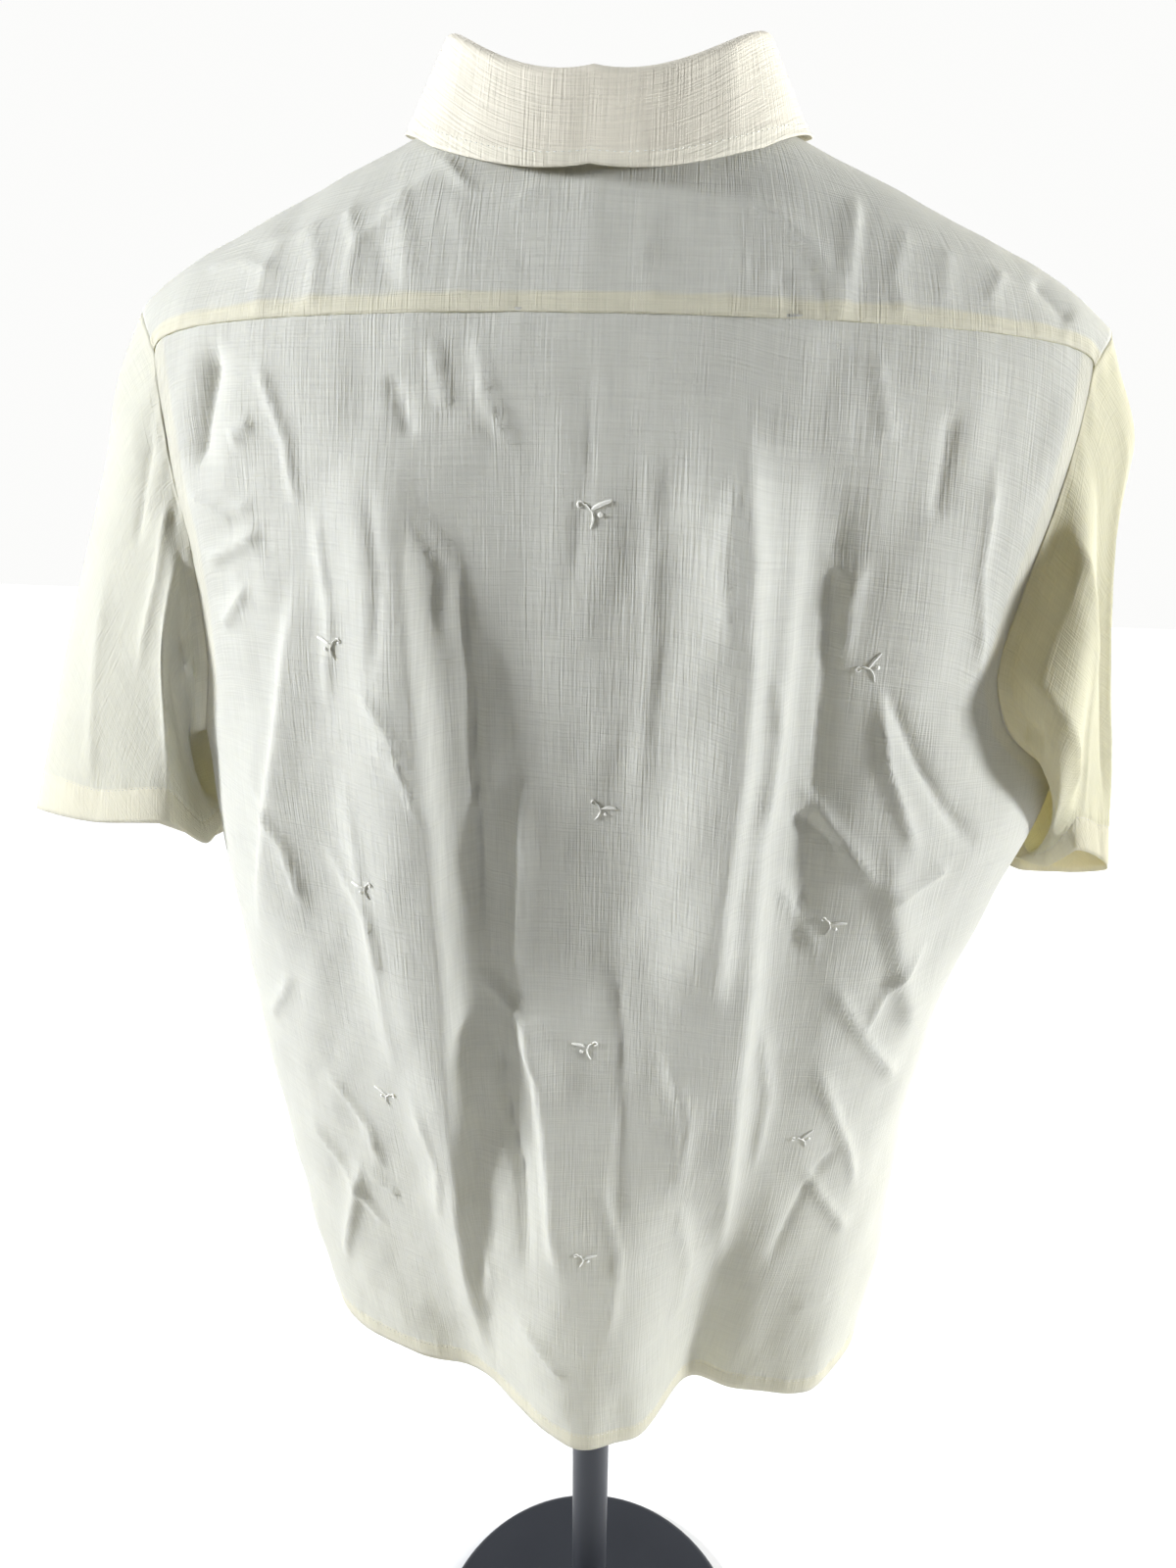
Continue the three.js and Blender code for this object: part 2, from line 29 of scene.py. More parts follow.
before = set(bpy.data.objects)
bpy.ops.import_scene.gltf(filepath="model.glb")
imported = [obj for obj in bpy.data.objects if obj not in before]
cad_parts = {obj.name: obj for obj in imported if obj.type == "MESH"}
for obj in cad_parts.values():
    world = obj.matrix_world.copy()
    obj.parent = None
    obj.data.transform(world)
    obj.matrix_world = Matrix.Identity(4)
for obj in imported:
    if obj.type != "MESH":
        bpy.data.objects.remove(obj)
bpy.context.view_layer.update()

# The camera stands behind the shirt at the height of its yoke and looks down on it
view = {"place": (-0.058, 0.602, 1.121), "downTilt": 25.0, "turn": 0.62, "roll": 0.5, "lens": 26.685}


def makeCamera():
    place = Vector(view["place"])
    ahead = Vector((-place.x, -place.y, 0)).normalized()
    ahead = Matrix.Rotation(math.radians(view["turn"]), 3, "Z") @ ahead
    tilt = math.radians(view["downTilt"])
    look = ahead * math.cos(tilt) - Vector((0, 0, 1)) * math.sin(tilt)
    right = look.cross(Vector((0, 0, 1))).normalized()
    up = right.cross(look)
    roll = math.radians(view["roll"])
    right, up = right * math.cos(roll) + up * math.sin(roll), up * math.cos(roll) - right * math.sin(roll)
    data = bpy.data.cameras.new("backView")
    data.lens = view["lens"]
    data.sensor_width = 36
    data.clip_start = 0.02
    camera = bpy.data.objects.new("backView", data)
    bpy.context.collection.objects.link(camera)
    camera.matrix_world = Matrix.Translation(place) @ Matrix((right, up, -look)).transposed().to_4x4()
    bpy.context.scene.camera = camera


makeCamera()
print("camera set")


# A socket that takes part in sums like a number
class Wire:
    def __init__(self, finish, socket):
        self.finish = finish
        self.socket = socket

    def sum(self, operation, first, second):
        return self.finish.node("ShaderNodeMath", {"operation": operation}, {0: first, 1: second})

    def __add__(self, other):
        return self.sum("ADD", self, other)

    def __radd__(self, other):
        return self.sum("ADD", other, self)

    def __sub__(self, other):
        return self.sum("SUBTRACT", self, other)

    def __rsub__(self, other):
        return self.sum("SUBTRACT", other, self)

    def __mul__(self, other):
        return self.sum("MULTIPLY", self, other)

    def __rmul__(self, other):
        return self.sum("MULTIPLY", other, self)


# A material with its tree of nodes
class Finish:
    def __init__(self, name):
        self.material = bpy.data.materials.new(name)
        self.material.use_nodes = True
        self.tree = self.material.node_tree
        self.tree.nodes.clear()

    def node(self, kind, settings=None, inputs=None, output=0):
        made = self.tree.nodes.new(kind)
        for key, value in (settings or {}).items():
            setattr(made, key, value)
        for key, value in (inputs or {}).items():
            if isinstance(value, Wire):
                self.tree.links.new(value.socket, made.inputs[key])
            else:
                made.inputs[key].default_value = value
        return Wire(self, made.outputs[output]) if len(made.outputs) else None

    def blend(self, share, first, second):
        settings = {"data_type": "RGBA", "blend_type": "MIX"}
        return self.node("ShaderNodeMix", settings, {0: share, 6: first, 7: second}, 2)

    def grain(self, place, stretch, detail=2.0):
        moved = self.node("ShaderNodeVectorMath", {"operation": "MULTIPLY"}, {0: place, 1: stretch})
        return self.node("ShaderNodeTexNoise", {}, {"Vector": moved, "Scale": 1.0, "Detail": detail})

    def show(self, shader):
        self.node("ShaderNodeOutputMaterial", {}, {"Surface": shader})
        return self.material


# Voile: slubby plain weave, creamier where it lies double and yellower where light comes through, with a
# painted olive shade and glow on its inner faces
voile = {
    "single": (0.76, 0.765, 0.72, 1),
    "double": (0.86, 0.83, 0.68, 1),
    # painted shade: the olive put on the inner faces stands for shade and for light glowing through inside
    # the garment
    "inside": (0.70, 0.70, 0.42, 1),
    "through": (0.86, 0.80, 0.36, 1),
    "letsThrough": 0.30,
    "slubShade": 0.13,
    "slubHeight": 0.00022,
    "roughness": 0.82,
}


def makeVoile(name, single, letsThrough, through):
    finish = Finish(name)
    cut = finish.node("ShaderNodeUVMap", {"uv_map": "cut"})
    warp = finish.grain(cut, (1150.0, 34.0, 1.0))
    weft = finish.grain(cut, (30.0, 1050.0, 1.0))
    cloud = finish.grain(cut, (26.0, 12.0, 1.0), 4.0)
    slub = warp * 0.5 + weft * 0.5
    doubled = finish.node("ShaderNodeAttribute", {"attribute_name": "double"}, {}, 2)
    # the mask of inner faces that get the painted olive shade
    inside = finish.node("ShaderNodeAttribute", {"attribute_name": "inside"}, {}, 2)
    shade = finish.blend(doubled, single, voile["double"])
    shade = finish.blend(inside * 0.85, shade, voile["inside"])
    tint = 1.0 + (slub - 0.5) * (voile["slubShade"] * 4) + (cloud - 0.5) * 0.06
    grey = finish.node("ShaderNodeCombineXYZ", {}, {0: tint, 1: tint, 2: tint})
    coloured = finish.node("ShaderNodeVectorMath", {"operation": "MULTIPLY"}, {0: shade, 1: grey})
    bumped = finish.node("ShaderNodeBump", {}, {"Height": slub, "Distance": voile["slubHeight"] * 4})
    cloth = finish.node("ShaderNodeBsdfPrincipled", {}, {
        "Base Color": coloured, "Roughness": voile["roughness"], "Normal": bumped,
        "Specular IOR Level": 0.25, "Sheen Weight": 0.2, "Sheen Roughness": 0.5,
    })
    glow = finish.node("ShaderNodeBsdfTranslucent", {}, {"Color": through})
    return finish.show(finish.node("ShaderNodeMixShader", {}, {0: letsThrough, 1: cloth, 2: glow}))


thread = {"dark": (0.80, 0.78, 0.66, 1), "light": (0.97, 0.96, 0.90, 1), "rib": 0.00012, "roughness": 0.5}


def makeThread():
    finish = Finish("sewingThread")
    place = finish.node("ShaderNodeTexCoord", {}, {}, 3)
    twist = finish.grain(place, (2600.0, 900.0, 2600.0), 1.0)
    tone = finish.blend(twist, thread["dark"], thread["light"])
    bumped = finish.node("ShaderNodeBump", {}, {"Height": twist, "Distance": thread["rib"]})
    return finish.show(finish.node("ShaderNodeBsdfPrincipled", {}, {
        "Base Color": tone, "Roughness": thread["roughness"], "Normal": bumped, "Sheen Weight": 0.3}))


def makeHard(name, light, dark, roughness, grainSize, bump, metallic=0.0):
    finish = Finish(name)
    place = finish.node("ShaderNodeTexCoord", {}, {}, 3)
    speckle = finish.grain(place, (grainSize, grainSize, grainSize), 5.0)
    broad = finish.grain(place, (14.0, 14.0, 9.0), 3.0)
    tone = finish.blend(speckle * 0.5 + broad * 0.5, dark, light)
    bumped = finish.node("ShaderNodeBump", {}, {"Height": speckle, "Distance": bump})
    rough = roughness + (broad - 0.5) * 0.2
    return finish.show(finish.node("ShaderNodeBsdfPrincipled", {}, {
        "Base Color": tone, "Roughness": rough, "Normal": bumped, "Metallic": metallic}))


finishes = {
    "voile": makeVoile("ivoryVoile", voile["single"], voile["letsThrough"], voile["through"]),
    # The sleeves' copies of the voile are painted yellower than the body, the right one most and the left
    # one a little darker: a painted glow of light through the sleeves
    "leftSleeve": makeVoile("leftSleeveVoilePaintedGlow", (0.73, 0.73, 0.65, 1), 0.28, (0.92, 0.84, 0.30, 1)),
    "rightSleeve": makeVoile("rightSleeveVoilePaintedGlow", (0.78, 0.77, 0.63, 1), 0.40, (0.92, 0.84, 0.24, 1)),
    "collar": makeVoile("collarVoile", (0.86, 0.80, 0.66, 1), 0.10, (0.85, 0.75, 0.55, 1)),
    "thread": makeThread(),
    "button": makeHard("pearlyButton", (0.9, 0.88, 0.8, 1), (0.78, 0.75, 0.64, 1), 0.28, 420.0, 0.00002),
    "form": makeHard("formShell", (0.72, 0.70, 0.64, 1), (0.6, 0.57, 0.5, 1), 0.8, 900.0, 0.0001),
    "paint": makeHard("darkPaint", (0.03, 0.034, 0.042, 1), (0.014, 0.016, 0.022, 1),
                      0.4, 1500.0, 0.00006, 0.3),
}
print("finishes made")


# Reading the tables
def read(table, by, column, at):
    place = np.array([row[by] for row in table], float)
    value = np.array([row[column] for row in table], float)
    rise = np.diff(value) / np.diff(place)
    slope = np.empty_like(value)
    slope[0], slope[-1] = rise[0], rise[-1]
    before, after = rise[:-1], rise[1:]
    both = before * after
    slope[1:-1] = np.where(both <= 0, 0, 2 * both / np.where(before + after == 0, 1, before + after))
    at = np.clip(at, place[0], place[-1])
    row = np.clip(np.searchsorted(place, at, side="left") - 1, 0, len(place) - 2)
    span = place[row + 1] - place[row]
    t = (at - place[row]) / span
    start = value[row] * (1 + 2 * t) * (1 - t) ** 2 + slope[row] * span * t * (1 - t) ** 2
    return start + value[row + 1] * t * t * (3 - 2 * t) + slope[row + 1] * span * t * t * (t - 1)


def readSide(table, side, at):
    return np.where(side > 0, read(table, "height", "left", at), read(table, "height", "right", at))


def smooth(share):
    return share * share * (3 - 2 * share)


def between(low, high, at):
    return smooth(np.clip((at - low) / (high - low), 0, 1))


def mix(first, second, share):
    return first + (second - first) * share


def point(x, y, z):
    return np.stack(np.broadcast_arrays(x, y, z), -1).astype(float)


# The body of the shirt: half-widths on the wearer's left and right, depth behind and before
body = {
    "hem": 431, "armpit": 868, "shoulderRound": 2.5, "lap": 16, "gap": 0.4,
    "sections": [
        {"height": 431, "left": 185, "right": 185, "back": 74, "front": 84, "square": 2.2},
        {"height": 520, "left": 197, "right": 193, "back": 86, "front": 95, "square": 2.2},
        {"height": 620, "left": 207, "right": 194, "back": 98, "front": 106, "square": 2.2},
        {"height": 710, "left": 213, "right": 202, "back": 108, "front": 115, "square": 2.3},
        {"height": 800, "left": 218, "right": 224, "back": 115, "front": 121, "square": 2.3},
        {"height": 868, "left": 221, "right": 244, "back": 119, "front": 124, "square": 2.2},
        {"height": 930, "left": 230, "right": 240, "back": 121, "front": 124, "square": 1.95},
        {"height": 1090, "left": 250, "right": 252, "back": 121, "front": 122, "square": 2.0},
    ],
    "armholes": [
        {"height": 868, "left": 221, "right": 244, "front": 222},
        {"height": 886, "left": 208, "right": 226, "front": 202},
        {"height": 912, "left": 199, "right": 202, "front": 186},
        {"height": 940, "left": 195, "right": 193, "front": 180},
        {"height": 980, "left": 196, "right": 201, "front": 182},
        {"height": 1020, "left": 204, "right": 212, "front": 190},
        {"height": 1072, "left": 212, "right": 222, "front": 204},
        {"height": 1100, "left": 218, "right": 228, "front": 212},
    ],
    "shoulders": [
        {"out": 0, "height": 1186}, {"out": 70, "height": 1170}, {"out": 100, "height": 1157},
        {"out": 172, "height": 1124}, {"out": 212, "height": 1104}, {"out": 234, "height": 1087},
        {"out": 250, "height": 1074},
    ],
    "backFolds": [
        {"across": -5, "deep": 44, "wide": 50, "lean": 0, "top": 850},
        {"across": -72, "deep": -20, "wide": 20, "lean": -10, "top": 760},
        {"across": -44, "deep": 8, "wide": 13, "lean": 0, "top": 640},
        {"across": -155, "deep": 14, "wide": 30, "lean": 0, "top": 700},
        {"across": 72, "deep": -6, "wide": 22, "lean": 20, "top": 800},
    ],
    "frontFolds": [
        {"across": 118, "deep": 14, "wide": 34, "lean": 10, "top": 800},
        {"across": 72, "deep": -9, "wide": 22, "lean": 6, "top": 760},
        {"across": -104, "deep": 16, "wide": 36, "lean": -12, "top": 820},
        {"across": -60, "deep": -8, "wide": 20, "lean": -4, "top": 740},
    ],
}
yoke = {"middle": 1095, "end": 1072, "neckWide": 76, "neckDeep": 64, "corner": -34,
        "share": 0.42, "bulge": 17}
neckTurn = math.acos(yoke["corner"] / yoke["neckDeep"])


def bodyDepth(x, z, face):
    half = readSide(body["sections"], x, z)
    deep = np.where(face > 0, read(body["sections"], "height", "back", z),
                    read(body["sections"], "height", "front", z))
    square = read(body["sections"], "height", "square", z)
    return deep * np.clip(1 - np.abs(x / half) ** square, 0, 1) ** (1 / square)


def shoulderPoint(x, turn):
    ridge = read(body["shoulders"], "out", "height", np.abs(x))
    flat = 2 / body["shoulderRound"]
    z = body["armpit"] + (ridge - body["armpit"]) * np.abs(np.sin(turn)) ** flat
    face = np.where(turn < math.pi / 2, 1.0, -1.0)
    return point(x, face * bodyDepth(x, z, face) * np.abs(np.cos(turn)) ** flat, z)


def turnAtHeight(x, z):
    ridge = read(body["shoulders"], "out", "height", np.abs(x))
    share = np.clip((z - body["armpit"]) / (ridge - body["armpit"]), 0, 1)
    return np.arcsin(share ** (body["shoulderRound"] / 2))


def turnAtDepth(x, y):
    face = np.where(y >= 0, 1.0, -1.0)
    deep = bodyDepth(x, np.full_like(x, 1120.0), face)
    return np.arccos(face * np.clip(np.abs(y) / deep, 0, 1) ** (body["shoulderRound"] / 2))


def foldDepth(folds, x, z):
    total = np.zeros_like(x)
    for fold in folds:
        risen = np.clip((z - body["hem"]) / (fold["top"] - body["hem"]), 0, 1)
        centre = fold["across"] + fold["lean"] * risen
        wide = fold["wide"] * (1 + 0.5 * risen)
        total += fold["deep"] * (1 - smooth(risen)) * np.exp(-(((x - centre) / wide) ** 2))
    return total


def bodyPoint(x, z, face, folds):
    turn = np.where(z > body["armpit"], turnAtHeight(x, z), 0)
    half = readSide(body["sections"], x, z)
    ease = 1 - between(0.8, 1.0, np.abs(x) / half)
    y = bodyDepth(x, z, np.full_like(x, face)) * np.abs(np.cos(turn)) ** (2 / body["shoulderRound"])
    return point(x, face * (y + foldDepth(folds, x, z) * ease + body["gap"] / 2), z)


def edgeAt(z, side, face):
    low = readSide(body["sections"], side, z)
    behind = readSide(body["armholes"], side, z)
    if face > 0:
        return np.where(z <= body["armpit"], low, behind)
    before = mix(behind, read(body["armholes"], "height", "front", z), between(868, 932, z))
    return np.where(z <= body["armpit"], low, before)


def yokeSeam(share):
    return mix(yoke["middle"], yoke["end"], np.abs(share) ** 1.8)


def rowPlace(up):
    return up + 0.12 * np.sin(math.pi * up)


def spread(share):
    return np.sin(share * math.pi / 2)


def backPoint(share, up):
    s = 1 - 2 * share
    z = mix(body["hem"], yokeSeam(s) + 2.0, rowPlace(up))
    return bodyPoint(edgeAt(z, s, 1) * spread(s), z, 1, body["backFolds"])


def neckPoint(share):
    turn = share * neckTurn
    return yoke["neckWide"] * np.sin(turn), yoke["neckDeep"] * np.cos(turn)


def yokePoint(share, up):
    s = 1 - 2 * share
    z = yokeSeam(s) + 0.1
    startX = edgeAt(z, s, 1) * spread(s)
    startTurn = turnAtHeight(startX, z)
    neckX, neckY = neckPoint(np.clip(s / yoke["share"], -1, 1))
    along = np.clip((np.abs(s) - yoke["share"]) / (1 - yoke["share"]), 0, 1)
    sideX = np.sign(s) * mix(neckPoint(1)[0], edgeAt(np.full_like(s, 1096.0), np.sign(s), -1), along)
    atNeck = np.abs(s) <= yoke["share"]
    endX = np.where(atNeck, neckX, sideX)
    endTurn = turnAtDepth(endX, np.where(atNeck, neckY, yoke["corner"]))
    bulge = np.sign(s) * np.abs(s) ** 6 * yoke["bulge"] * np.sin(up * math.pi)
    return shoulderPoint(mix(startX, endX, up) + bulge, mix(startTurn, endTurn, up))


def frontTop(x):
    out = np.abs(x)
    cornerX = np.full_like(out, neckPoint(1)[0])
    corner = shoulderPoint(cornerX, turnAtDepth(cornerX, np.full_like(out, yoke["corner"])))[..., 2]
    throat = mix(1040, corner, np.clip(out / neckPoint(1)[0], 0, 1) ** 0.85)
    seam = shoulderPoint(out, turnAtDepth(out, np.full_like(out, yoke["corner"])))[..., 2]
    return np.where(out < neckPoint(1)[0], throat, seam) - 0.3


def frontPoint(side, share, up, lift=0.0):
    inner = -body["lap"] if side > 0 else -body["lap"] + 2
    s = mix(inner / 190, 1, share)
    top = np.full_like(s, 1090.0)
    for _ in range(6):
        top = frontTop(edgeAt(top, side, -1) * np.maximum(spread(s), 0))
    z = mix(body["hem"], top, rowPlace(up))
    x = side * edgeAt(z, side, -1) * spread(s)
    lap = 3.1 * (1 - between(0, 50, x - body["lap"] - 10)) if side > 0 else 0
    made = bodyPoint(x, z, -1, body["frontFolds"])
    made[..., 1] -= lap + lift
    return made


def armhole(side, share):
    tip = 0.09
    column = np.zeros_like(share) if side > 0 else np.ones_like(share)
    up = np.where(share < tip, 0.5 - 0.5 * share / tip, 0.5 + 0.5 * (1 - share) / tip)
    top = yokePoint(column, np.clip(up, 0, 1))
    downZ = mix(yoke["end"], body["armpit"], np.clip((share - tip) / (0.5 - tip), 0, 1))
    behind = bodyPoint(side * edgeAt(downZ, side, 1), downZ, 1, [])
    frontHead = frontTop(edgeAt(np.full_like(share, 1090.0), side, -1))
    upZ = mix(body["armpit"], frontHead, np.clip((share - 0.5) / (0.5 - tip), 0, 1))
    before = bodyPoint(side * edgeAt(upZ, side, -1), upZ, -1, [])
    onTop = ((share < tip) | (share > 1 - tip))[..., None]
    return np.where(onTop, top, np.where((share <= 0.5)[..., None], behind, before))


def ringPoint(places, share):
    path = np.array(places, float)
    at = (share % 1) * len(path)
    k = np.floor(at).astype(int) % len(path)
    t = (at - np.floor(at))[..., None]
    a, b, c, d = (path[(k + step) % len(path)] for step in (-1, 0, 1, 2))
    start = b * (1 + 2 * t) * (1 - t) ** 2 + (c - a) * 0.42 * t * (1 - t) ** 2
    return start + c * t * t * (3 - 2 * t) + (d - b) * 0.42 * t * t * (t - 1)


# Meshes from grids of points
def gridNormals(grid, ring):
    wide = np.concatenate([grid, grid[:, :1]], 1) if ring else grid
    facing = np.cross(wide[1:, 1:] - wide[:-1, :-1], wide[1:, :-1] - wide[:-1, 1:])
    total = np.zeros_like(wide)
    for down in (slice(0, -1), slice(1, None)):
        for over in (slice(0, -1), slice(1, None)):
            total[down, over] += facing
    if ring:
        total[:, 0] += total[:, -1]
        total = total[:, :-1]
    return total / np.maximum(np.linalg.norm(total, axis=-1, keepdims=True), 1e-9)


def makeObject(name, points, faces, finish, cornerPlaces=None, marks=None):
    mesh = bpy.data.meshes.new(name)
    mesh.from_pydata((points * 0.001).tolist(), [], faces.tolist() if hasattr(faces, "tolist") else faces)
    mesh.materials.append(finish)
    mesh.polygons.foreach_set("use_smooth", [True] * len(mesh.polygons))
    if cornerPlaces is not None:
        layer = mesh.uv_layers.new(name="cut")
        layer.data.foreach_set("uv", cornerPlaces.astype(np.float32).ravel())
    for key, values in (marks or {}).items():
        mark = mesh.attributes.new(key, "FLOAT", "POINT")
        mark.data.foreach_set("value", values.astype(np.float32).ravel())
    made = bpy.data.objects.new(name, mesh)
    bpy.context.collection.objects.link(made)
    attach(made, "root")
    return made


def clothShell(name, grid, places, doubled, finish, thick=0.45, ring=False, slot="voile", lining=1.0):
    rows, wide = grid.shape[0] - 1, grid.shape[1]
    columns = wide if ring else wide - 1
    normal = gridNormals(grid, ring)
    outer, inner = grid, grid - normal * thick
    count = grid.shape[0] * wide
    j, i = np.mgrid[0:rows, 0:columns]

    def corner(downStep, acrossStep):
        return (j + downStep) * wide + (i + acrossStep) % wide

    def place(downStep, acrossStep):
        return places[j + downStep, i + acrossStep]

    steps = [(0, 0), (0, 1), (1, 1), (1, 0)]
    back = [(0, 0), (1, 0), (1, 1), (0, 1)]
    faces = [np.stack([corner(*s) for s in steps], -1), np.stack([corner(*s) for s in back], -1) + count]
    corners = [np.stack([place(*s) for s in steps], -2), np.stack([place(*s) for s in back], -2)]
    faces = [f.reshape(-1, 4) for f in faces]
    corners = [c.reshape(-1, 4, 2) for c in corners]
    flatPlaces = places[:, :wide].reshape(-1, 2)

    def rim(first, second):
        quads = np.stack([first, second, second + count, first + count], -1)
        faces.append(quads)
        corners.append(flatPlaces[quads % count])

    low = np.arange(columns)
    rim((low + 1) % wide, low)
    rim(rows * wide + low, rows * wide + (low + 1) % wide)
    if not ring:
        side = np.arange(rows) * wide
        rim(side, side + wide)
        rim(side + wide + columns, side + columns)
    points = np.concatenate([outer.reshape(-1, 3), inner.reshape(-1, 3)])
    # the inner faces are marked for the painted olive shade at the given share; the collar gets none
    marks = {
        "double": np.concatenate([doubled.ravel(), doubled.ravel()]),
        "inside": np.concatenate([np.zeros(count), np.full(count, lining)]),
    }
    made = makeObject(name + "_cloth", points, np.concatenate(faces), finish,
                      np.concatenate(corners), marks)
    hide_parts(name)
    return made, outer, normal


# Creases run along short paths over a piece. Some have steep sides, and some tip over to one side.
creaseGain = 1.8


def creaseLift(creases, x, z):
    total = np.zeros_like(x)
    for crease in creases:
        path = crease["path"]
        lengths = [math.dist(a, b) for a, b in zip(path, path[1:])]
        near = np.full_like(x, 1e9)
        along = np.zeros_like(x)
        tipped = np.zeros_like(x)
        done = 0.0
        for (x0, z0), (x1, z1), length in zip(path, path[1:], lengths):
            dx, dz = (x1 - x0) / length, (z1 - z0) / length
            t = np.clip((x - x0) * dx + (z - z0) * dz, 0, length)
            off = np.hypot(x - x0 - t * dx, z - z0 - t * dz)
            closer = off < near
            near = np.where(closer, off, near)
            along = np.where(closer, (done + t) / sum(lengths), along)
            tipped = np.where(closer, np.sign(dx * (z - z0) - dz * (x - x0)), tipped)
            done += length
        ends = smooth(np.clip(np.minimum(along, 1 - along) / 0.22, 0, 1))
        wide = np.where(tipped > 0, crease["wide"], crease.get("steep", crease["wide"]))
        far = near / wide
        shape = np.exp(-1.2 * far ** (1.6 if "steep" in crease else 1.05))
        shape = shape + crease.get("tip", 0.0) * tipped * far * np.exp(-(far / 1.6) ** 2)
        total += creaseGain * crease["deep"] * shape * ends
    return total


def rumple(x, z, seed, size):
    waves = random.Random(seed)
    total = np.zeros_like(x)
    for _ in range(14):
        length = waves.uniform(16, 70)
        turn = waves.gauss(0, 0.5)
        phase = waves.uniform(0, 6.3)
        total += np.sin((x * math.cos(turn) + z * math.sin(turn)) * 6.283 / length + phase) * length / 70
    return total * size


def pucker(along, away, seed):
    waves = random.Random(seed)
    first, second = waves.uniform(6, 8), waves.uniform(10, 14)
    wave = np.sin(along * 6.283 / first) + 0.8 * np.sin(along * 6.283 / second + 1.3)
    return 0.22 * wave * np.exp(-(away / 7) ** 2)


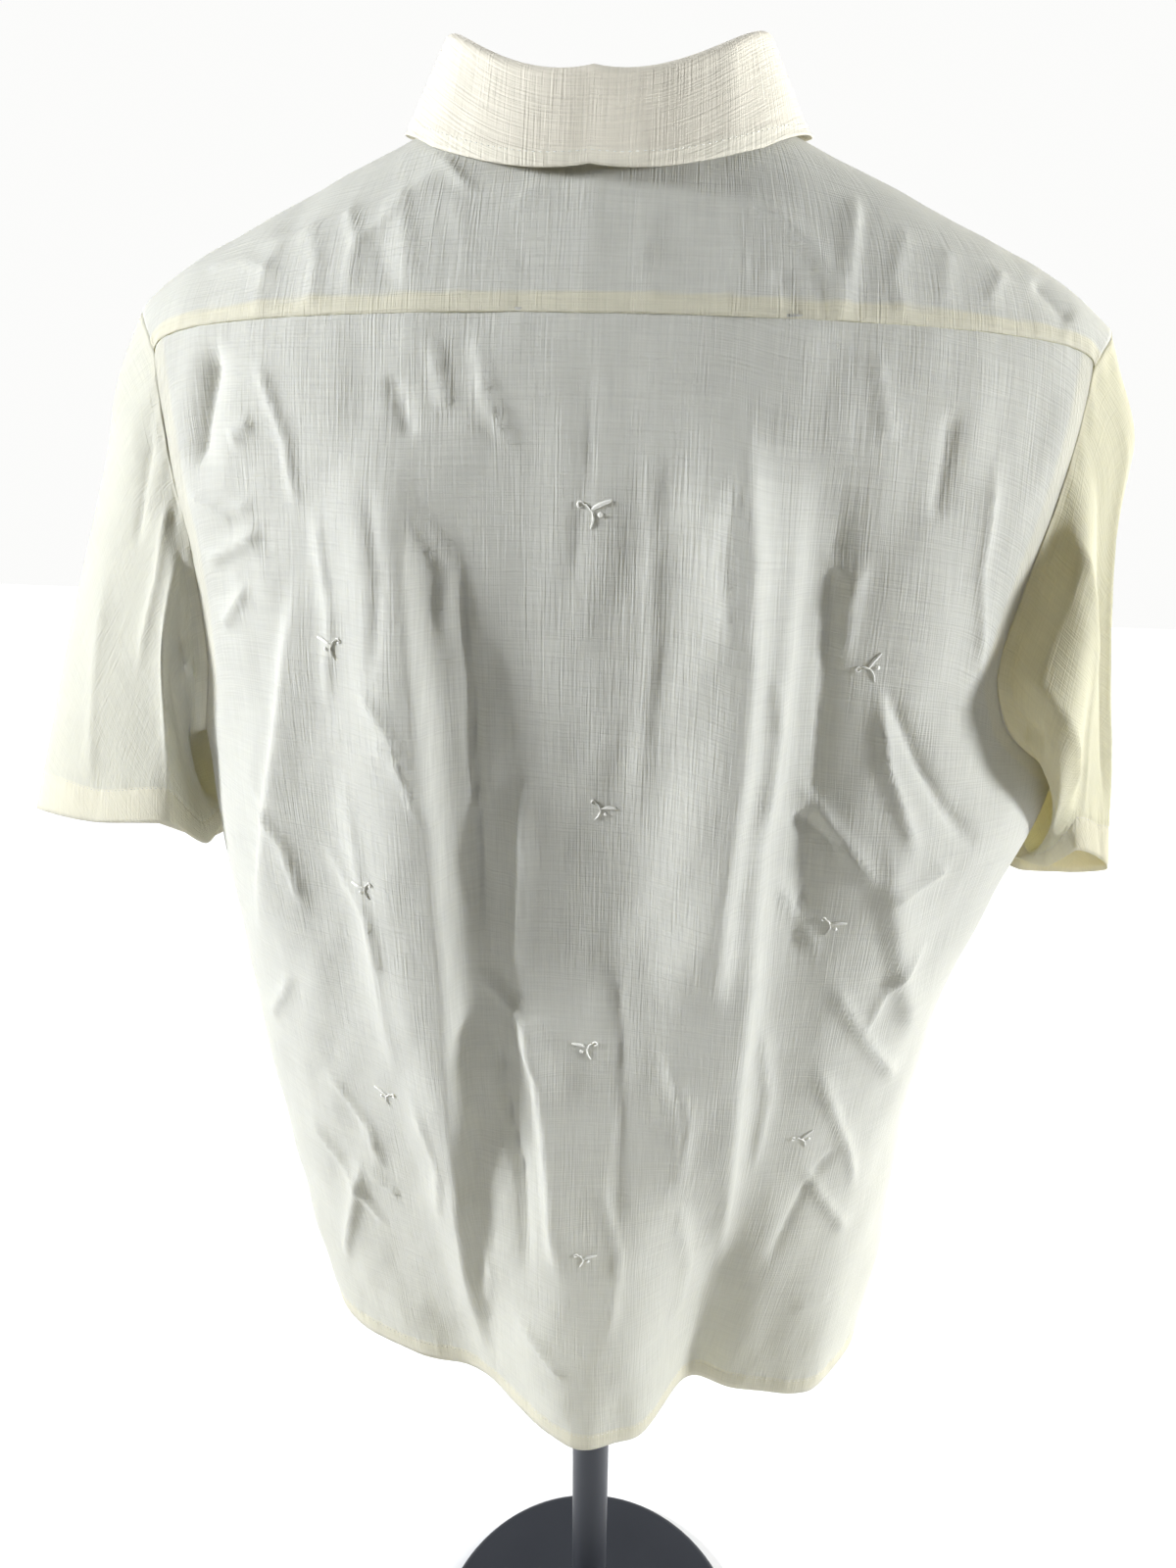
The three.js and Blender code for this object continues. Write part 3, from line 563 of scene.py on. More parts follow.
# Back panel
back = {
    "across": 216, "up": 196, "hemDepth": 14.5,
    "waves": [
        {"across": 86, "deep": 6.0, "wide": 24, "low": 620, "high": 1060},
        {"across": 30, "deep": -3.6, "wide": 30, "low": 560, "high": 1070},
        {"across": -64, "deep": 7.5, "wide": 23, "low": 560, "high": 1075},
        {"across": -104, "deep": -5.0, "wide": 20, "low": 600, "high": 1060},
        {"across": -150, "deep": 3.0, "wide": 22, "low": 700, "high": 1040},
        {"across": 150, "deep": 2.4, "wide": 24, "low": 640, "high": 1000},
    ],
    "creases": [
        {"path": [(44, 1091), (40, 1068), (36, 1056), (27, 1040)], "deep": 1.6, "wide": 3.2},
        {"path": [(64, 1086), (56, 1055)], "deep": 1.3, "wide": 3.0},
        {"path": [(83, 1071), (72, 1043)], "deep": -1.2, "wide": 3.0},
        {"path": [(172, 1080), (179, 1052), (187, 1021)], "deep": -3.4, "wide": 7.0},
        {"path": [(165, 1037), (151, 1047)], "deep": 1.4, "wide": 4.0},
        {"path": [(187, 978), (148, 999)], "deep": 2.2, "wide": 4.0},
        {"path": [(129, 985), (144, 912), (155, 867), (184, 760)], "deep": 3.4, "wide": 5, "steep": 24},
        {"path": [(159, 972), (180, 947)], "deep": 1.8, "wide": 4.0},
        {"path": [(80, 1060), (74, 980), (70, 937), (66, 868), (64, 776), (64, 702), (64, 598), (60, 440)],
         "deep": 6.5, "wide": 38, "steep": 5},
        {"path": [(53, 1010), (49, 939), (48, 885), (46, 780)], "deep": -3.2, "wide": 3.4},
        {"path": [(22, 900), (26, 800), (24, 700)], "deep": 2.2, "wide": 5, "steep": 16},
        {"path": [(101, 941), (81, 917), (68, 871)], "deep": 1.8, "wide": 3.6},
        {"path": [(90, 912), (73, 896)], "deep": 1.2, "wide": 3.0},
        {"path": [(23, 900), (32, 770)], "deep": 2.2, "wide": 5.0},
        {"path": [(33, 770), (20, 724), (15, 670), (9, 580)], "deep": 4.4, "wide": 4, "steep": 16},
        {"path": [(45, 770), (38, 698), (29, 645), (28, 565)], "deep": -2.6, "wide": 3.6},
        {"path": [(54, 784), (17, 745)], "deep": 1.6, "wide": 3.2},
        {"path": [(36, 538), (3, 498)], "deep": 2.2, "wide": 4.5},
        {"path": [(160, 752), (188, 702)], "deep": 1.8, "wide": 4.0},
        {"path": [(132, 620), (162, 499)], "deep": 2.6, "wide": 5.5},
        {"path": [(130, 610), (109, 598)], "deep": 1.4, "wide": 3.2},
        {"path": [(-66, 1070), (-73, 1000), (-75, 950), (-74, 898), (-70, 839), (-71, 760)],
         "deep": 5.5, "wide": 28, "steep": 6},
        {"path": [(-94, 1050), (-92, 970), (-89, 890), (-86, 865), (-87, 787), (-84, 686), (-84, 540)],
         "deep": 4.6, "wide": 16, "steep": 6},
        {"path": [(-112, 1040), (-112, 900), (-110, 780)], "deep": -2.4, "wide": 8},
        {"path": [(-105, 1003), (-118, 989), (-116, 951)], "deep": 1.5, "wide": 3.4},
        {"path": [(-122, 1003), (-119, 946)], "deep": 1.2, "wide": 3.0},
        {"path": [(-134, 944), (-142, 902), (-163, 852)], "deep": 2.4, "wide": 4.2},
        {"path": [(-135, 945), (-157, 902), (-173, 878), (-198, 848)], "deep": -2.4, "wide": 4.2},
        {"path": [(-105, 894), (-129, 861), (-149, 835)], "deep": 2.4, "wide": 3.6},
        {"path": [(-100, 880), (-129, 857)], "deep": -1.6, "wide": 3.0},
        {"path": [(-150, 832), (-182, 845)], "deep": 1.8, "wide": 3.6},
        {"path": [(-148, 868), (-150, 835), (-164, 778), (-181, 720)], "deep": 2.6, "wide": 5, "steep": 14},
        {"path": [(-91, 853), (-124, 794)], "deep": 1.4, "wide": 3.2},
        {"path": [(-127, 785), (-147, 745), (-179, 687)], "deep": 2.2, "wide": 4.0},
        {"path": [(-126, 727), (-153, 647), (-162, 606)], "deep": 2.2, "wide": 4.6},
        {"path": [(-127, 644), (-146, 605), (-161, 577)], "deep": 2.0, "wide": 3.6},
        {"path": [(-130, 521), (-156, 528)], "deep": 1.2, "wide": 3.2},
        {"path": [(-120, 1082), (-129, 1044)], "deep": 1.2, "wide": 3.2},
        {"path": [(-156, 1060), (-152, 1010)], "deep": -1.8, "wide": 4.6},
        {"path": [(-2, 1090), (-3, 1040), (2, 980)], "deep": -1.0, "wide": 5.0},
        {"path": [(150, 1075), (134, 1040), (128, 1008)], "deep": 1.5, "wide": 3.0},
        {"path": [(196, 1010), (170, 1004), (150, 1012)], "deep": 1.5, "wide": 3.2},
        {"path": [(120, 1018), (112, 962), (117, 915)], "deep": 1.3, "wide": 3.4},
        {"path": [(92, 1030), (84, 985), (88, 940)], "deep": -1.3, "wide": 3.4},
        {"path": [(74, 1020), (58, 990), (60, 950)], "deep": 1.4, "wide": 2.8},
        {"path": [(176, 880), (150, 842), (142, 800)], "deep": 1.6, "wide": 3.4},
        {"path": [(128, 850), (104, 810), (98, 770)], "deep": 1.5, "wide": 3.2},
        {"path": [(150, 690), (124, 652), (118, 615)], "deep": 1.6, "wide": 3.4},
        {"path": [(176, 640), (152, 612), (120, 560)], "deep": 1.7, "wide": 3.6},
        {"path": [(90, 700), (76, 640), (80, 590)], "deep": 1.5, "wide": 3.4},
        {"path": [(62, 640), (52, 560), (58, 505)], "deep": 1.4, "wide": 3.8},
        {"path": [(-14, 660), (-26, 600), (-20, 530)], "deep": 1.6, "wide": 3.4},
        {"path": [(-56, 640), (-64, 570), (-58, 510)], "deep": 1.5, "wide": 3.6},
        {"path": [(-44, 760), (-58, 700), (-54, 640)], "deep": 1.4, "wide": 3.2},
        {"path": [(-96, 760), (-104, 700), (-98, 640)], "deep": 1.6, "wide": 3.4},
        {"path": [(-150, 660), (-132, 630), (-112, 560)], "deep": -1.6, "wide": 3.6},
        {"path": [(-178, 1040), (-176, 990), (-184, 940)], "deep": 1.6, "wide": 3.6},
        {"path": [(-66, 1040), (-60, 1000), (-66, 960)], "deep": 1.3, "wide": 3.0},
        {"path": [(-84, 960), (-92, 915), (-86, 870)], "deep": 1.4, "wide": 3.2},
        {"path": [(-176, 800), (-158, 770), (-150, 740)], "deep": 1.6, "wide": 3.2},
        {"path": [(-30, 1060), (-34, 960), (-28, 880)], "deep": 1.0, "wide": 4.0},
        {"path": [(112, 900), (104, 800), (98, 700)], "deep": 1.3, "wide": 5.0},
        {"path": [(-20, 820), (-26, 700), (-22, 600)], "deep": -1.2, "wide": 5.0},
    ],
}


def backLift(x, z):
    total = rumple(x, z, 7, 0.22) + creaseLift(back["creases"], x, z)
    for wave in back["waves"]:
        held = between(wave["low"], wave["low"] + 140, z) * (1 - between(wave["high"] - 60, wave["high"], z))
        drift = wave["across"] + 4 * np.sin(z / 90 + wave["across"])
        total += wave["deep"] * held * np.exp(-((x - drift) / wave["wide"]) ** 2)
    return total


def hemGroove(away, along, seed):
    return pucker(along, away, seed) - 0.35 * np.exp(-(away / 1.1) ** 2)


# Rows of a piece with a turned hem: the inside layer, then round the edge and over the outside
def hemRows(count, hemShare, inset=1.0):
    outside = np.unique(np.concatenate([np.linspace(0, 1, count + 1), [hemShare]]))
    ups = np.concatenate([np.linspace(hemShare, 0.0, 6), outside])
    insets = np.concatenate([np.full(5, inset), [inset * 0.75], [inset * 0.2], np.zeros(len(outside) - 1)])
    return ups, insets


def hang(name, at, shares, ups, insets, lift, double, finish, ring=False, **how):
    levels, rowOf = np.unique(np.round(ups, 9), return_inverse=True)
    share, up = np.meshgrid(shares, levels)
    base = at(share, up)
    normal = gridNormals(base, ring)
    doubled = double(base, share, up)
    wide = np.concatenate([base, base[:, :1]], 1) if ring else base
    across = np.concatenate([np.zeros((len(levels), 1)),
                             np.cumsum(np.linalg.norm(np.diff(wide, axis=1), axis=-1), 1)], 1)
    across = across - across[:, across.shape[1] // 2][:, None]
    down = np.concatenate([np.zeros((1, wide.shape[1])),
                           np.cumsum(np.linalg.norm(np.diff(wide, axis=0), axis=-1), 0)])
    places = np.stack([across, down], -1) * 0.001
    base = base + normal * lift(base, share, up)[..., None]
    grid = base[rowOf] - normal[rowOf] * insets[:, None, None]
    doubled = np.where(insets[:, None] > 0, 1.0, doubled[rowOf])
    return clothShell(name, grid, places[rowOf], doubled, finish, ring=ring, **how)


# Rows of stitches: small raised lozenges laid end to end along a line on the cloth
def stitchLine(path, normal, long=2.3, gap=0.75, high=0.24, wide=0.2, lead=0.1):
    steps = np.linalg.norm(np.diff(path, axis=0), axis=-1)
    run = np.concatenate([[0], np.cumsum(steps)])
    starts = np.arange(lead, run[-1] - long, long + gap)

    def on(values, at):
        return np.stack([np.interp(at, run, values[:, k]) for k in range(3)], -1)

    first, last = on(path, starts), on(path, starts + long)
    out = on(normal, starts + long / 2)
    out /= np.linalg.norm(out, axis=-1, keepdims=True)
    middle = on(path, starts + long / 2)
    aside = np.cross(last - first, out)
    aside /= np.maximum(np.linalg.norm(aside, axis=-1, keepdims=True), 1e-9)
    corners = [first - out * 0.05, last - out * 0.05, middle + aside * wide, middle - aside * wide,
               middle + out * high, middle - out * 0.1]
    points = np.stack(corners, 1).reshape(-1, 3)
    pattern = np.array([[0, 2, 4], [2, 1, 4], [1, 3, 4], [3, 0, 4],
                        [2, 0, 5], [1, 2, 5], [3, 1, 5], [0, 3, 5]])
    faces = (pattern[None] + np.arange(len(starts))[:, None, None] * 6).reshape(-1, 3)
    return points, faces


def joinParts(parts):
    points, faces, count = [], [], 0
    for somePoints, someFaces in parts:
        points.append(somePoints)
        faces.append(someFaces + count)
        count += len(somePoints)
    return np.concatenate(points), np.concatenate(faces)


def sewn(name, parts):
    points, faces = joinParts(parts)
    return makeObject(name, points, faces, finishes["thread"])


# Back panel, 664 long; its rows lie 1.377 times wider apart at the hem than on average
hemShare = back["hemDepth"] / (664 * 1.377)
backUps, backInsets = hemRows(back["up"], hemShare)


def backDouble(base, share, up):
    seam = 1 - between(7, 10, (1 - spread(np.abs(1 - 2 * share))) * 239)
    return np.maximum((up <= hemShare + 1e-6) * 1.0, seam * 0.5 * (base[..., 2] > 868))


def liftBack(base, share, up):
    x, z = base[..., 0], base[..., 2]
    edge = z - body["hem"]
    fade = np.clip((1 - np.abs(1 - 2 * share)) / 0.02, 0, 1) * np.clip((1 - up) / 0.012, 0, 1)
    tucked = -0.3 * between(-3, 0, z - yokeSeam(1 - 2 * share))
    sewnEdges = hemGroove(edge - back["hemDepth"], x, 3) + pucker(x, (1 - up) * 640, 5) * fade
    return backLift(x, z) * fade + sewnEdges + tucked


backPiece, backOuter, backNormal = hang(
    "back_panel", backPoint, np.linspace(0, 1, back["across"] + 1), backUps, backInsets,
    liftBack, backDouble, finishes["voile"])
print("back panel hung")

# Yoke
yokeLook = {
    "across": 180, "up": 64,
    "creases": [
        {"path": [(110, 1140), (101, 1121), (104, 1098)], "deep": 1.8, "wide": 3.4},
        {"path": [(83, 1148), (77, 1125), (73, 1102)], "deep": 1.5, "wide": 3.8, "tip": 0.3},
        {"path": [(91, 1123), (82, 1100)], "deep": -1.0, "wide": 3.4},
        {"path": [(80, 1135), (104, 1118)], "deep": 1.5, "wide": 2.8},
        {"path": [(62, 1154), (81, 1143), (110, 1134), (156, 1121)], "deep": -2.0, "wide": 4.0, "tip": 0.8},
        {"path": [(66, 1154), (48, 1138)], "deep": 1.8, "wide": 2.6},
        {"path": [(30, 1150), (19, 1143), (34, 1130)], "deep": 1.6, "wide": 2.6},
        {"path": [(-110, 1142), (-108, 1111), (-106, 1088)], "deep": 2.0, "wide": 3.2, "tip": 0.5},
        {"path": [(-58, 1138), (-78, 1129), (-92, 1118), (-99, 1106), (-103, 1090)],
         "deep": 1.8, "wide": 2.8, "tip": -0.5},
        {"path": [(-77, 1114), (-90, 1088)], "deep": -1.4, "wide": 2.6},
        {"path": [(-190, 1108), (-210, 1090)], "deep": -2.0, "wide": 4.0},
        {"path": [(0, 1150), (-4, 1120), (2, 1096)], "deep": 0.9, "wide": 5.0},
        {"path": [(140, 1126), (150, 1100), (146, 1086)], "deep": 1.1, "wide": 4.0},
        {"path": [(-150, 1122), (-148, 1096)], "deep": 1.1, "wide": 4.0},
        {"path": [(186, 1108), (160, 1112), (136, 1106)], "deep": 1.5, "wide": 3.0},
        {"path": [(128, 1132), (120, 1112), (122, 1090)], "deep": 1.4, "wide": 2.8},
        {"path": [(56, 1140), (50, 1116), (54, 1094)], "deep": 1.3, "wide": 2.8},
        {"path": [(34, 1126), (24, 1108), (30, 1090)], "deep": -1.2, "wide": 2.8},
        {"path": [(-28, 1142), (-24, 1118), (-30, 1094)], "deep": 1.3, "wide": 3.0},
        {"path": [(-58, 1140), (-62, 1112), (-56, 1092)], "deep": 1.3, "wide": 2.8},
        {"path": [(-132, 1130), (-126, 1108), (-134, 1090)], "deep": 1.4, "wide": 3.0},
        {"path": [(-176, 1112), (-168, 1098)], "deep": 1.4, "wide": 3.0},
    ],
}


def yokeDown(base):
    return np.concatenate([np.zeros((1, base.shape[1])),
                           np.cumsum(np.linalg.norm(np.diff(base, axis=0), axis=-1), 0)])


def liftYoke(base, share, up):
    x, z = base[..., 0], base[..., 2]
    creased = 0.6 * creaseLift(yokeLook["creases"], x, z) * (1 - between(0.6, 0.85, up))
    fade = np.clip((1 - np.abs(1 - 2 * share)) / 0.03, 0, 1) * np.clip(up / 0.02, 0, 1)
    fade = fade * np.clip((1 - up) / 0.03, 0, 1)
    allowance = 0.35 * (1 - between(7.5, 9.0, yokeDown(base)))
    creased = creased + rumple(x, base[..., 1] + z, 11, 0.10) + pucker(x, yokeDown(base), 9)
    return creased * fade + allowance


def yokeDouble(base, share, up):
    behind = 1 - between(7.5, 9.0, yokeDown(base))
    return np.maximum(behind, 0.7 * between(0.965, 0.985, up))


yokePiece = hang(
    "back_yoke", yokePoint, np.linspace(0, 1, yokeLook["across"] + 1), np.linspace(0, 1, yokeLook["up"] + 1),
    np.zeros(yokeLook["up"] + 1), liftYoke, yokeDouble, finishes["voile"])[0]

# Fronts with their turned edges, and the lapels lying on them
front = {
    "across": 96, "up": 130,
    "creases": [
        {"path": [(58, 1000), (76, 930), (82, 850)], "deep": 1.2, "wide": 5.5},
        {"path": [(150, 980), (124, 930), (116, 880)], "deep": 1.5, "wide": 4.5},
        {"path": [(190, 930), (160, 900), (138, 886)], "deep": 2.0, "wide": 4.0},
        {"path": [(182, 890), (150, 850), (132, 800)], "deep": 1.6, "wide": 4.6},
        {"path": [(100, 810), (92, 730), (104, 660)], "deep": 1.3, "wide": 5.0},
        {"path": [(162, 760), (140, 700), (144, 640)], "deep": -1.6, "wide": 5.0},
        {"path": [(60, 690), (72, 610), (64, 540)], "deep": 1.5, "wide": 6.0},
        {"path": [(130, 620), (112, 560), (118, 505)], "deep": 2.0, "wide": 5.5},
        {"path": [(40, 900), (52, 860)], "deep": 1.1, "wide": 3.4},
        {"path": [(-46, 1010), (-66, 950), (-60, 890)], "deep": 1.3, "wide": 5.0},
        {"path": [(-120, 1000), (-132, 930), (-150, 870)], "deep": 1.5, "wide": 5.0},
        {"path": [(-196, 920), (-166, 896), (-140, 888)], "deep": 2.0, "wide": 4.0},
        {"path": [(-178, 870), (-152, 820), (-150, 770)], "deep": 1.5, "wide": 4.4},
        {"path": [(-88, 860), (-96, 780), (-84, 710)], "deep": 1.2, "wide": 5.4},
        {"path": [(-140, 720), (-118, 650), (-124, 590)], "deep": -1.6, "wide": 5.0},
        {"path": [(-58, 650), (-74, 580), (-66, 510)], "deep": 1.8, "wide": 5.6},
        {"path": [(-150, 600), (-158, 510)], "deep": 1.4, "wide": 5.0},
        {"path": [(-44, 770), (-58, 735)], "deep": 1.0, "wide": 3.6},
    ],
}


def hangFront(name, side):
    def fromCentre(share):
        return share if side > 0 else 1 - share

    def at(share, up):
        return frontPoint(side, fromCentre(share), up)

    def lift(base, share, up):
        x, z = base[..., 0], base[..., 2]
        centre = fromCentre(share)
        fade = between(0.12, 0.3, centre) * np.clip((1 - centre) / 0.02, 0, 1)
        fade = fade * np.clip((1 - up) / 0.02, 0, 1)
        creased = creaseLift(front["creases"], x, z) + rumple(x, z, 17 + side, 0.12)
        return creased * fade + hemGroove(z - body["hem"] - back["hemDepth"], x, 13)

    def double(base, share, up):
        placket = 1 - between(0.13, 0.135, fromCentre(share))
        return np.maximum(placket, (up <= hemShare + 1e-6) * 1.0)

    return hang(name, at, np.linspace(0, 1, front["across"] + 1), frontUps, frontInsets, lift, double,
                finishes["voile"])


frontUps, frontInsets = hemRows(front["up"], hemShare)
leftFront, leftOuter, leftNormal = hangFront("left_front", 1)
rightFront, rightOuter, rightNormal = hangFront("right_front", -1)


def lapelAt(side):
    def at(share, up):
        across = mix(0.17, 0.27, share if side > 0 else 1 - share)
        return frontPoint(side, across, mix(0.8, 0.93, up), 2.3)
    return at


for name, side in (("left_lapel", 1), ("right_lapel", -1)):
    (hang(name, lapelAt(side), np.linspace(0, 1, 25), np.linspace(0, 1, 41), np.zeros(41),
                       lambda base, share, up: rumple(base[..., 0], base[..., 2], 23, 0.08),
                       lambda base, share, up: np.ones_like(share), finishes["voile"], thick=0.8)[0])
print("yoke, fronts and lapels hung")

# Sleeves: places round their hems from the outer edge by way of the back, and their soft folds
leftSleeve = {
    "side": 1,
    "hem": [(340, 10, 808), (288, 40, 817), (234, 54, 826), (234, 12, 792), (228, -14, 803),
            (238, -44, 780), (266, -48, 762), (306, -34, 782)],
    "folds": [
        {"round": 0.27, "wide": 0.11, "along": 0.5, "long": 0.4, "out": 2, "back": 7},
        {"round": 0.1, "wide": 0.09, "along": 0.55, "long": 0.4, "out": 4, "back": 4},
        {"round": 0, "wide": 0.12, "along": 0.08, "long": 0.1, "out": 6, "back": 0},
        {"round": 0.82, "wide": 0.1, "along": 0.5, "long": 0.4, "out": 4, "back": -8},
    ],
    "creases": [
        {"path": [(26.5, 8), (26.0, 50), (25.6, 96)], "deep": 1.6, "wide": 1.3},
        {"path": [(21, 2), (22, 30), (19, 62)], "deep": 1.6, "wide": 1.4},
        {"path": [(14, 4), (15, 30)], "deep": -1.2, "wide": 1.2},
        {"path": [(10, 40), (12, 92)], "deep": 1.2, "wide": 1.8},
        {"path": [(40, 3), (33, 30)], "deep": 1.8, "wide": 1.5},
        {"path": [(70, 6), (78, 40), (76, 80)], "deep": 2.0, "wide": 2.0},
        {"path": [(88, 10), (90, 60)], "deep": 1.4, "wide": 1.8},
    ],
}
rightSleeve = {
    "side": -1,
    "hem": [(284, 8, 807), (274, 24, 822), (254, 35, 833), (247, 6, 808), (243, -22, 796),
            (246, -64, 772), (264, -74, 760), (280, -44, 776)],
    "folds": [
        {"round": 0.21, "wide": 0.06, "along": 0.3, "long": 0.28, "out": 4, "back": 13},
        {"round": 0.11, "wide": 0.06, "along": 0.4, "long": 0.3, "out": 3, "back": -8},
        {"round": 0.33, "wide": 0.11, "along": 0.5, "long": 0.4, "out": 10, "back": 26},
        {"round": 0, "wide": 0.12, "along": 0.12, "long": 0.16, "out": 11, "back": 0},
        {"round": 0.82, "wide": 0.1, "along": 0.5, "long": 0.4, "out": 4, "back": -8},
    ],
    "creases": [
        {"path": [(20, 2), (20.5, 40), (21, 95)], "deep": 1.6, "wide": 1.2},
        {"path": [(13, 3), (11, 40), (9, 90)], "deep": -1.4, "wide": 1.5},
        {"path": [(6, 5), (7, 50), (5, 95)], "deep": 1.3, "wide": 1.6},
        {"path": [(34, 4), (32, 40), (30, 80)], "deep": 1.8, "wide": 1.6},
        {"path": [(40, 6), (37, 30)], "deep": -1.4, "wide": 1.3},
        {"path": [(70, 6), (76, 40), (78, 80)], "deep": 2.0, "wide": 2.0},
        {"path": [(88, 10), (91, 60)], "deep": 1.4, "wide": 1.8},
    ],
}
sleeveLook = {"around": 150, "along": 84, "hemDepth": 25, "length": 285}
sleeveHem = sleeveLook["hemDepth"] / sleeveLook["length"]
sleeveRows, sleeveInsets = hemRows(sleeveLook["along"], sleeveHem)
sleeveRows, sleeveInsets = (1 - sleeveRows)[::-1], sleeveInsets[::-1]


def sleevePoint(sleeve, share, along):
    side = sleeve["side"]
    head = armhole(side, share)
    lowEase = np.where(head[..., 1] < 0, 5, 3)
    shift = 1.8 + lowEase * between(0, 50, 970 - head[..., 2])
    head[..., 0] += side * shift
    end = ringPoint([(side * out, behind, high) for out, behind, high in sleeve["hem"]], share)
    under = between(0, 0.2, 0.38 - np.abs(share - 0.5))[..., None]
    away = head + under * np.array([side * 17.0, 0.0, -26.0])
    middle = mix((head + end) / 2, away, under)
    t = along[..., None]
    made = head * (1 - t) ** 2 + middle * 2 * t * (1 - t) + end * t * t
    for fold in sleeve["folds"]:
        far = np.abs(share - fold["round"])
        near = np.minimum(far, 1 - far) / fold["wide"]
        reach = np.exp(-(near ** 2) - ((along - fold["along"]) / fold["long"]) ** 2)
        reach = reach * smooth(np.minimum(1, along * 5))
        made[..., 0] += side * fold["out"] * reach
        made[..., 1] += fold["back"] * reach
    x, y, z = made[..., 0], made[..., 1], made[..., 2]
    half = readSide(body["sections"], side, z)
    deep = np.where(y > 0, read(body["sections"], "height", "back", z),
                    read(body["sections"], "height", "front", z))
    square = read(body["sections"], "height", "square", z)
    byDepth = half * np.clip(1 - np.abs(y / deep) ** square, 0, 1) ** (1 / square)
    behind = between(-30, 30, y)
    bySeam = mix(edgeAt(z, side, -1), edgeAt(z, side, 1), behind)
    short = np.minimum(byDepth, bySeam) + 1.5 + mix(4, 2, behind) - np.abs(x)
    atSeam = np.exp(-(along / 0.035) ** 2)
    push = between(0, 50, 1010 - z) * (short + np.hypot(short, 4)) * 0.5 * (1 - atSeam)
    made[..., 0] += side * (push - (shift - 0.1) * atSeam)
    return made


def hangSleeve(name, sleeve):
    side = sleeve["side"]

    def turned(share):
        return (1 - share) % 1 if side > 0 else share

    def lift(base, share, up):
        round100, along100 = turned(share) * 100, up * 100
        creased = creaseLift(sleeve["creases"], round100, along100)
        creased = creased + rumple(round100 * 4.2, along100 * 2.8, 31, 0.10)
        cap = 0.5 * np.sin(round100 * 1.9) * np.exp(-(up / 0.05) ** 2)
        groove = hemGroove((1 - up - sleeveHem) * sleeveLook["length"], round100 * 4.2, 37)
        return (creased + cap) * np.clip(up / 0.03, 0, 1) + groove

    def double(base, share, up):
        return np.maximum((up >= 1 - sleeveHem - 1e-6) * 1.0, 0.35 * (1 - between(0.02, 0.03, up)))

    around = np.arange(sleeveLook["around"]) / sleeveLook["around"]
    return hang(name, lambda share, up: sleevePoint(sleeve, turned(share), up), around,
                sleeveRows, sleeveInsets, lift, double,
                finishes["leftSleeve" if side > 0 else "rightSleeve"], ring=True)


leftSleevePiece, leftSleeveOuter, leftSleeveNormal = hangSleeve("left_sleeve", leftSleeve)
rightSleevePiece, rightSleeveOuter, rightSleeveNormal = hangSleeve("right_sleeve", rightSleeve)
print("sleeves hung")

# Collar: stand, top fold and leaf, swept round the neck
collar = {"standBack": 26, "standSide": 34, "fall": 32, "fallSide": 38, "spread": 12, "ends": 146,
          "roll": 3.2, "across": 200, "up": 56, "stitchIn": 5.5, "thick": 0.9}


def neckSeam(turn):
    limit = np.minimum(np.abs(turn), neckTurn)
    side = np.where(turn < 0, -1.0, 1.0)
    x, y = (yoke["neckWide"] - 2.1) * np.sin(limit), (yoke["neckDeep"] - 2.1) * np.cos(limit)
    edgeX, edgeY = neckPoint(limit / neckTurn)
    z = shoulderPoint(edgeX, turnAtDepth(edgeX, edgeY))[..., 2] + 0.6
    beyond = np.abs(turn) - limit
    return point(side * (x - beyond * 34), y - beyond * 78, z - beyond * 34)


def collarPoint(share, up):
    s = 1 - 2 * share
    turn = np.radians(s * collar["ends"])
    side = np.abs(np.sin(turn)) ** 1.6
    seam = neckSeam(turn)
    stand = mix(collar["standBack"], collar["standSide"], side)
    fall = mix(collar["fall"], collar["fallSide"], side)
    ahead = between(0, 50, np.abs(s) * collar["ends"] - 100)
    outwards = point(np.sin(turn), np.cos(turn), 0 * turn)
    roll, lean = collar["roll"], 2.4 + 6 * side
    rise = np.clip(up / 0.4, 0, 1)
    bend = np.clip((up - 0.4) / 0.2, 0, 1) * math.pi
    down = np.clip((up - 0.6) / 0.4, 0, 1)
    high = rise * (stand - roll) * (1 - 0.5 * ahead) + roll * np.sin(bend) - down * fall * (1 + 0.25 * ahead)
    away = -lean * rise + roll * (1 - np.cos(bend)) + down * (collar["spread"] + 12 * ahead + 8 * side)
    made = seam + outwards * away[..., None]
    made[..., 2] += high
    x, y = made[..., 0], made[..., 1]
    rest = shoulderPoint(x, turnAtDepth(x, y))[..., 2] + 2.9 + 5 * ahead
    made[..., 2] = np.where(up >= 0.6, np.maximum(made[..., 2], rest), made[..., 2])
    for _ in range(3):
        made[1:-1] = made[1:-1] * 0.5 + (made[:-2] + made[2:]) * 0.25
    return made


def collarLift(base, share, up):
    turn = (1 - 2 * share) * collar["ends"]
    leaf = between(0.5, 0.66, up)
    folds = 1.1 * np.exp(-((turn - 1) / 4) ** 2) - 1.2 * np.exp(-((turn + 14) / 4) ** 2)
    folds = folds + 0.9 * np.exp(-((turn - 42) / 6) ** 2) - 0.8 * np.exp(-((turn + 58 - 20 * up) / 5) ** 2)
    groove = -0.35 * np.exp(-(((1 - up) * 85 - collar["stitchIn"]) / 1.0) ** 2)
    folds = (folds + rumple(turn * 1.4, up * 70, 43, 0.12)) * leaf * np.clip((1.02 - up) / 0.1, 0, 1)
    return folds + groove * leaf


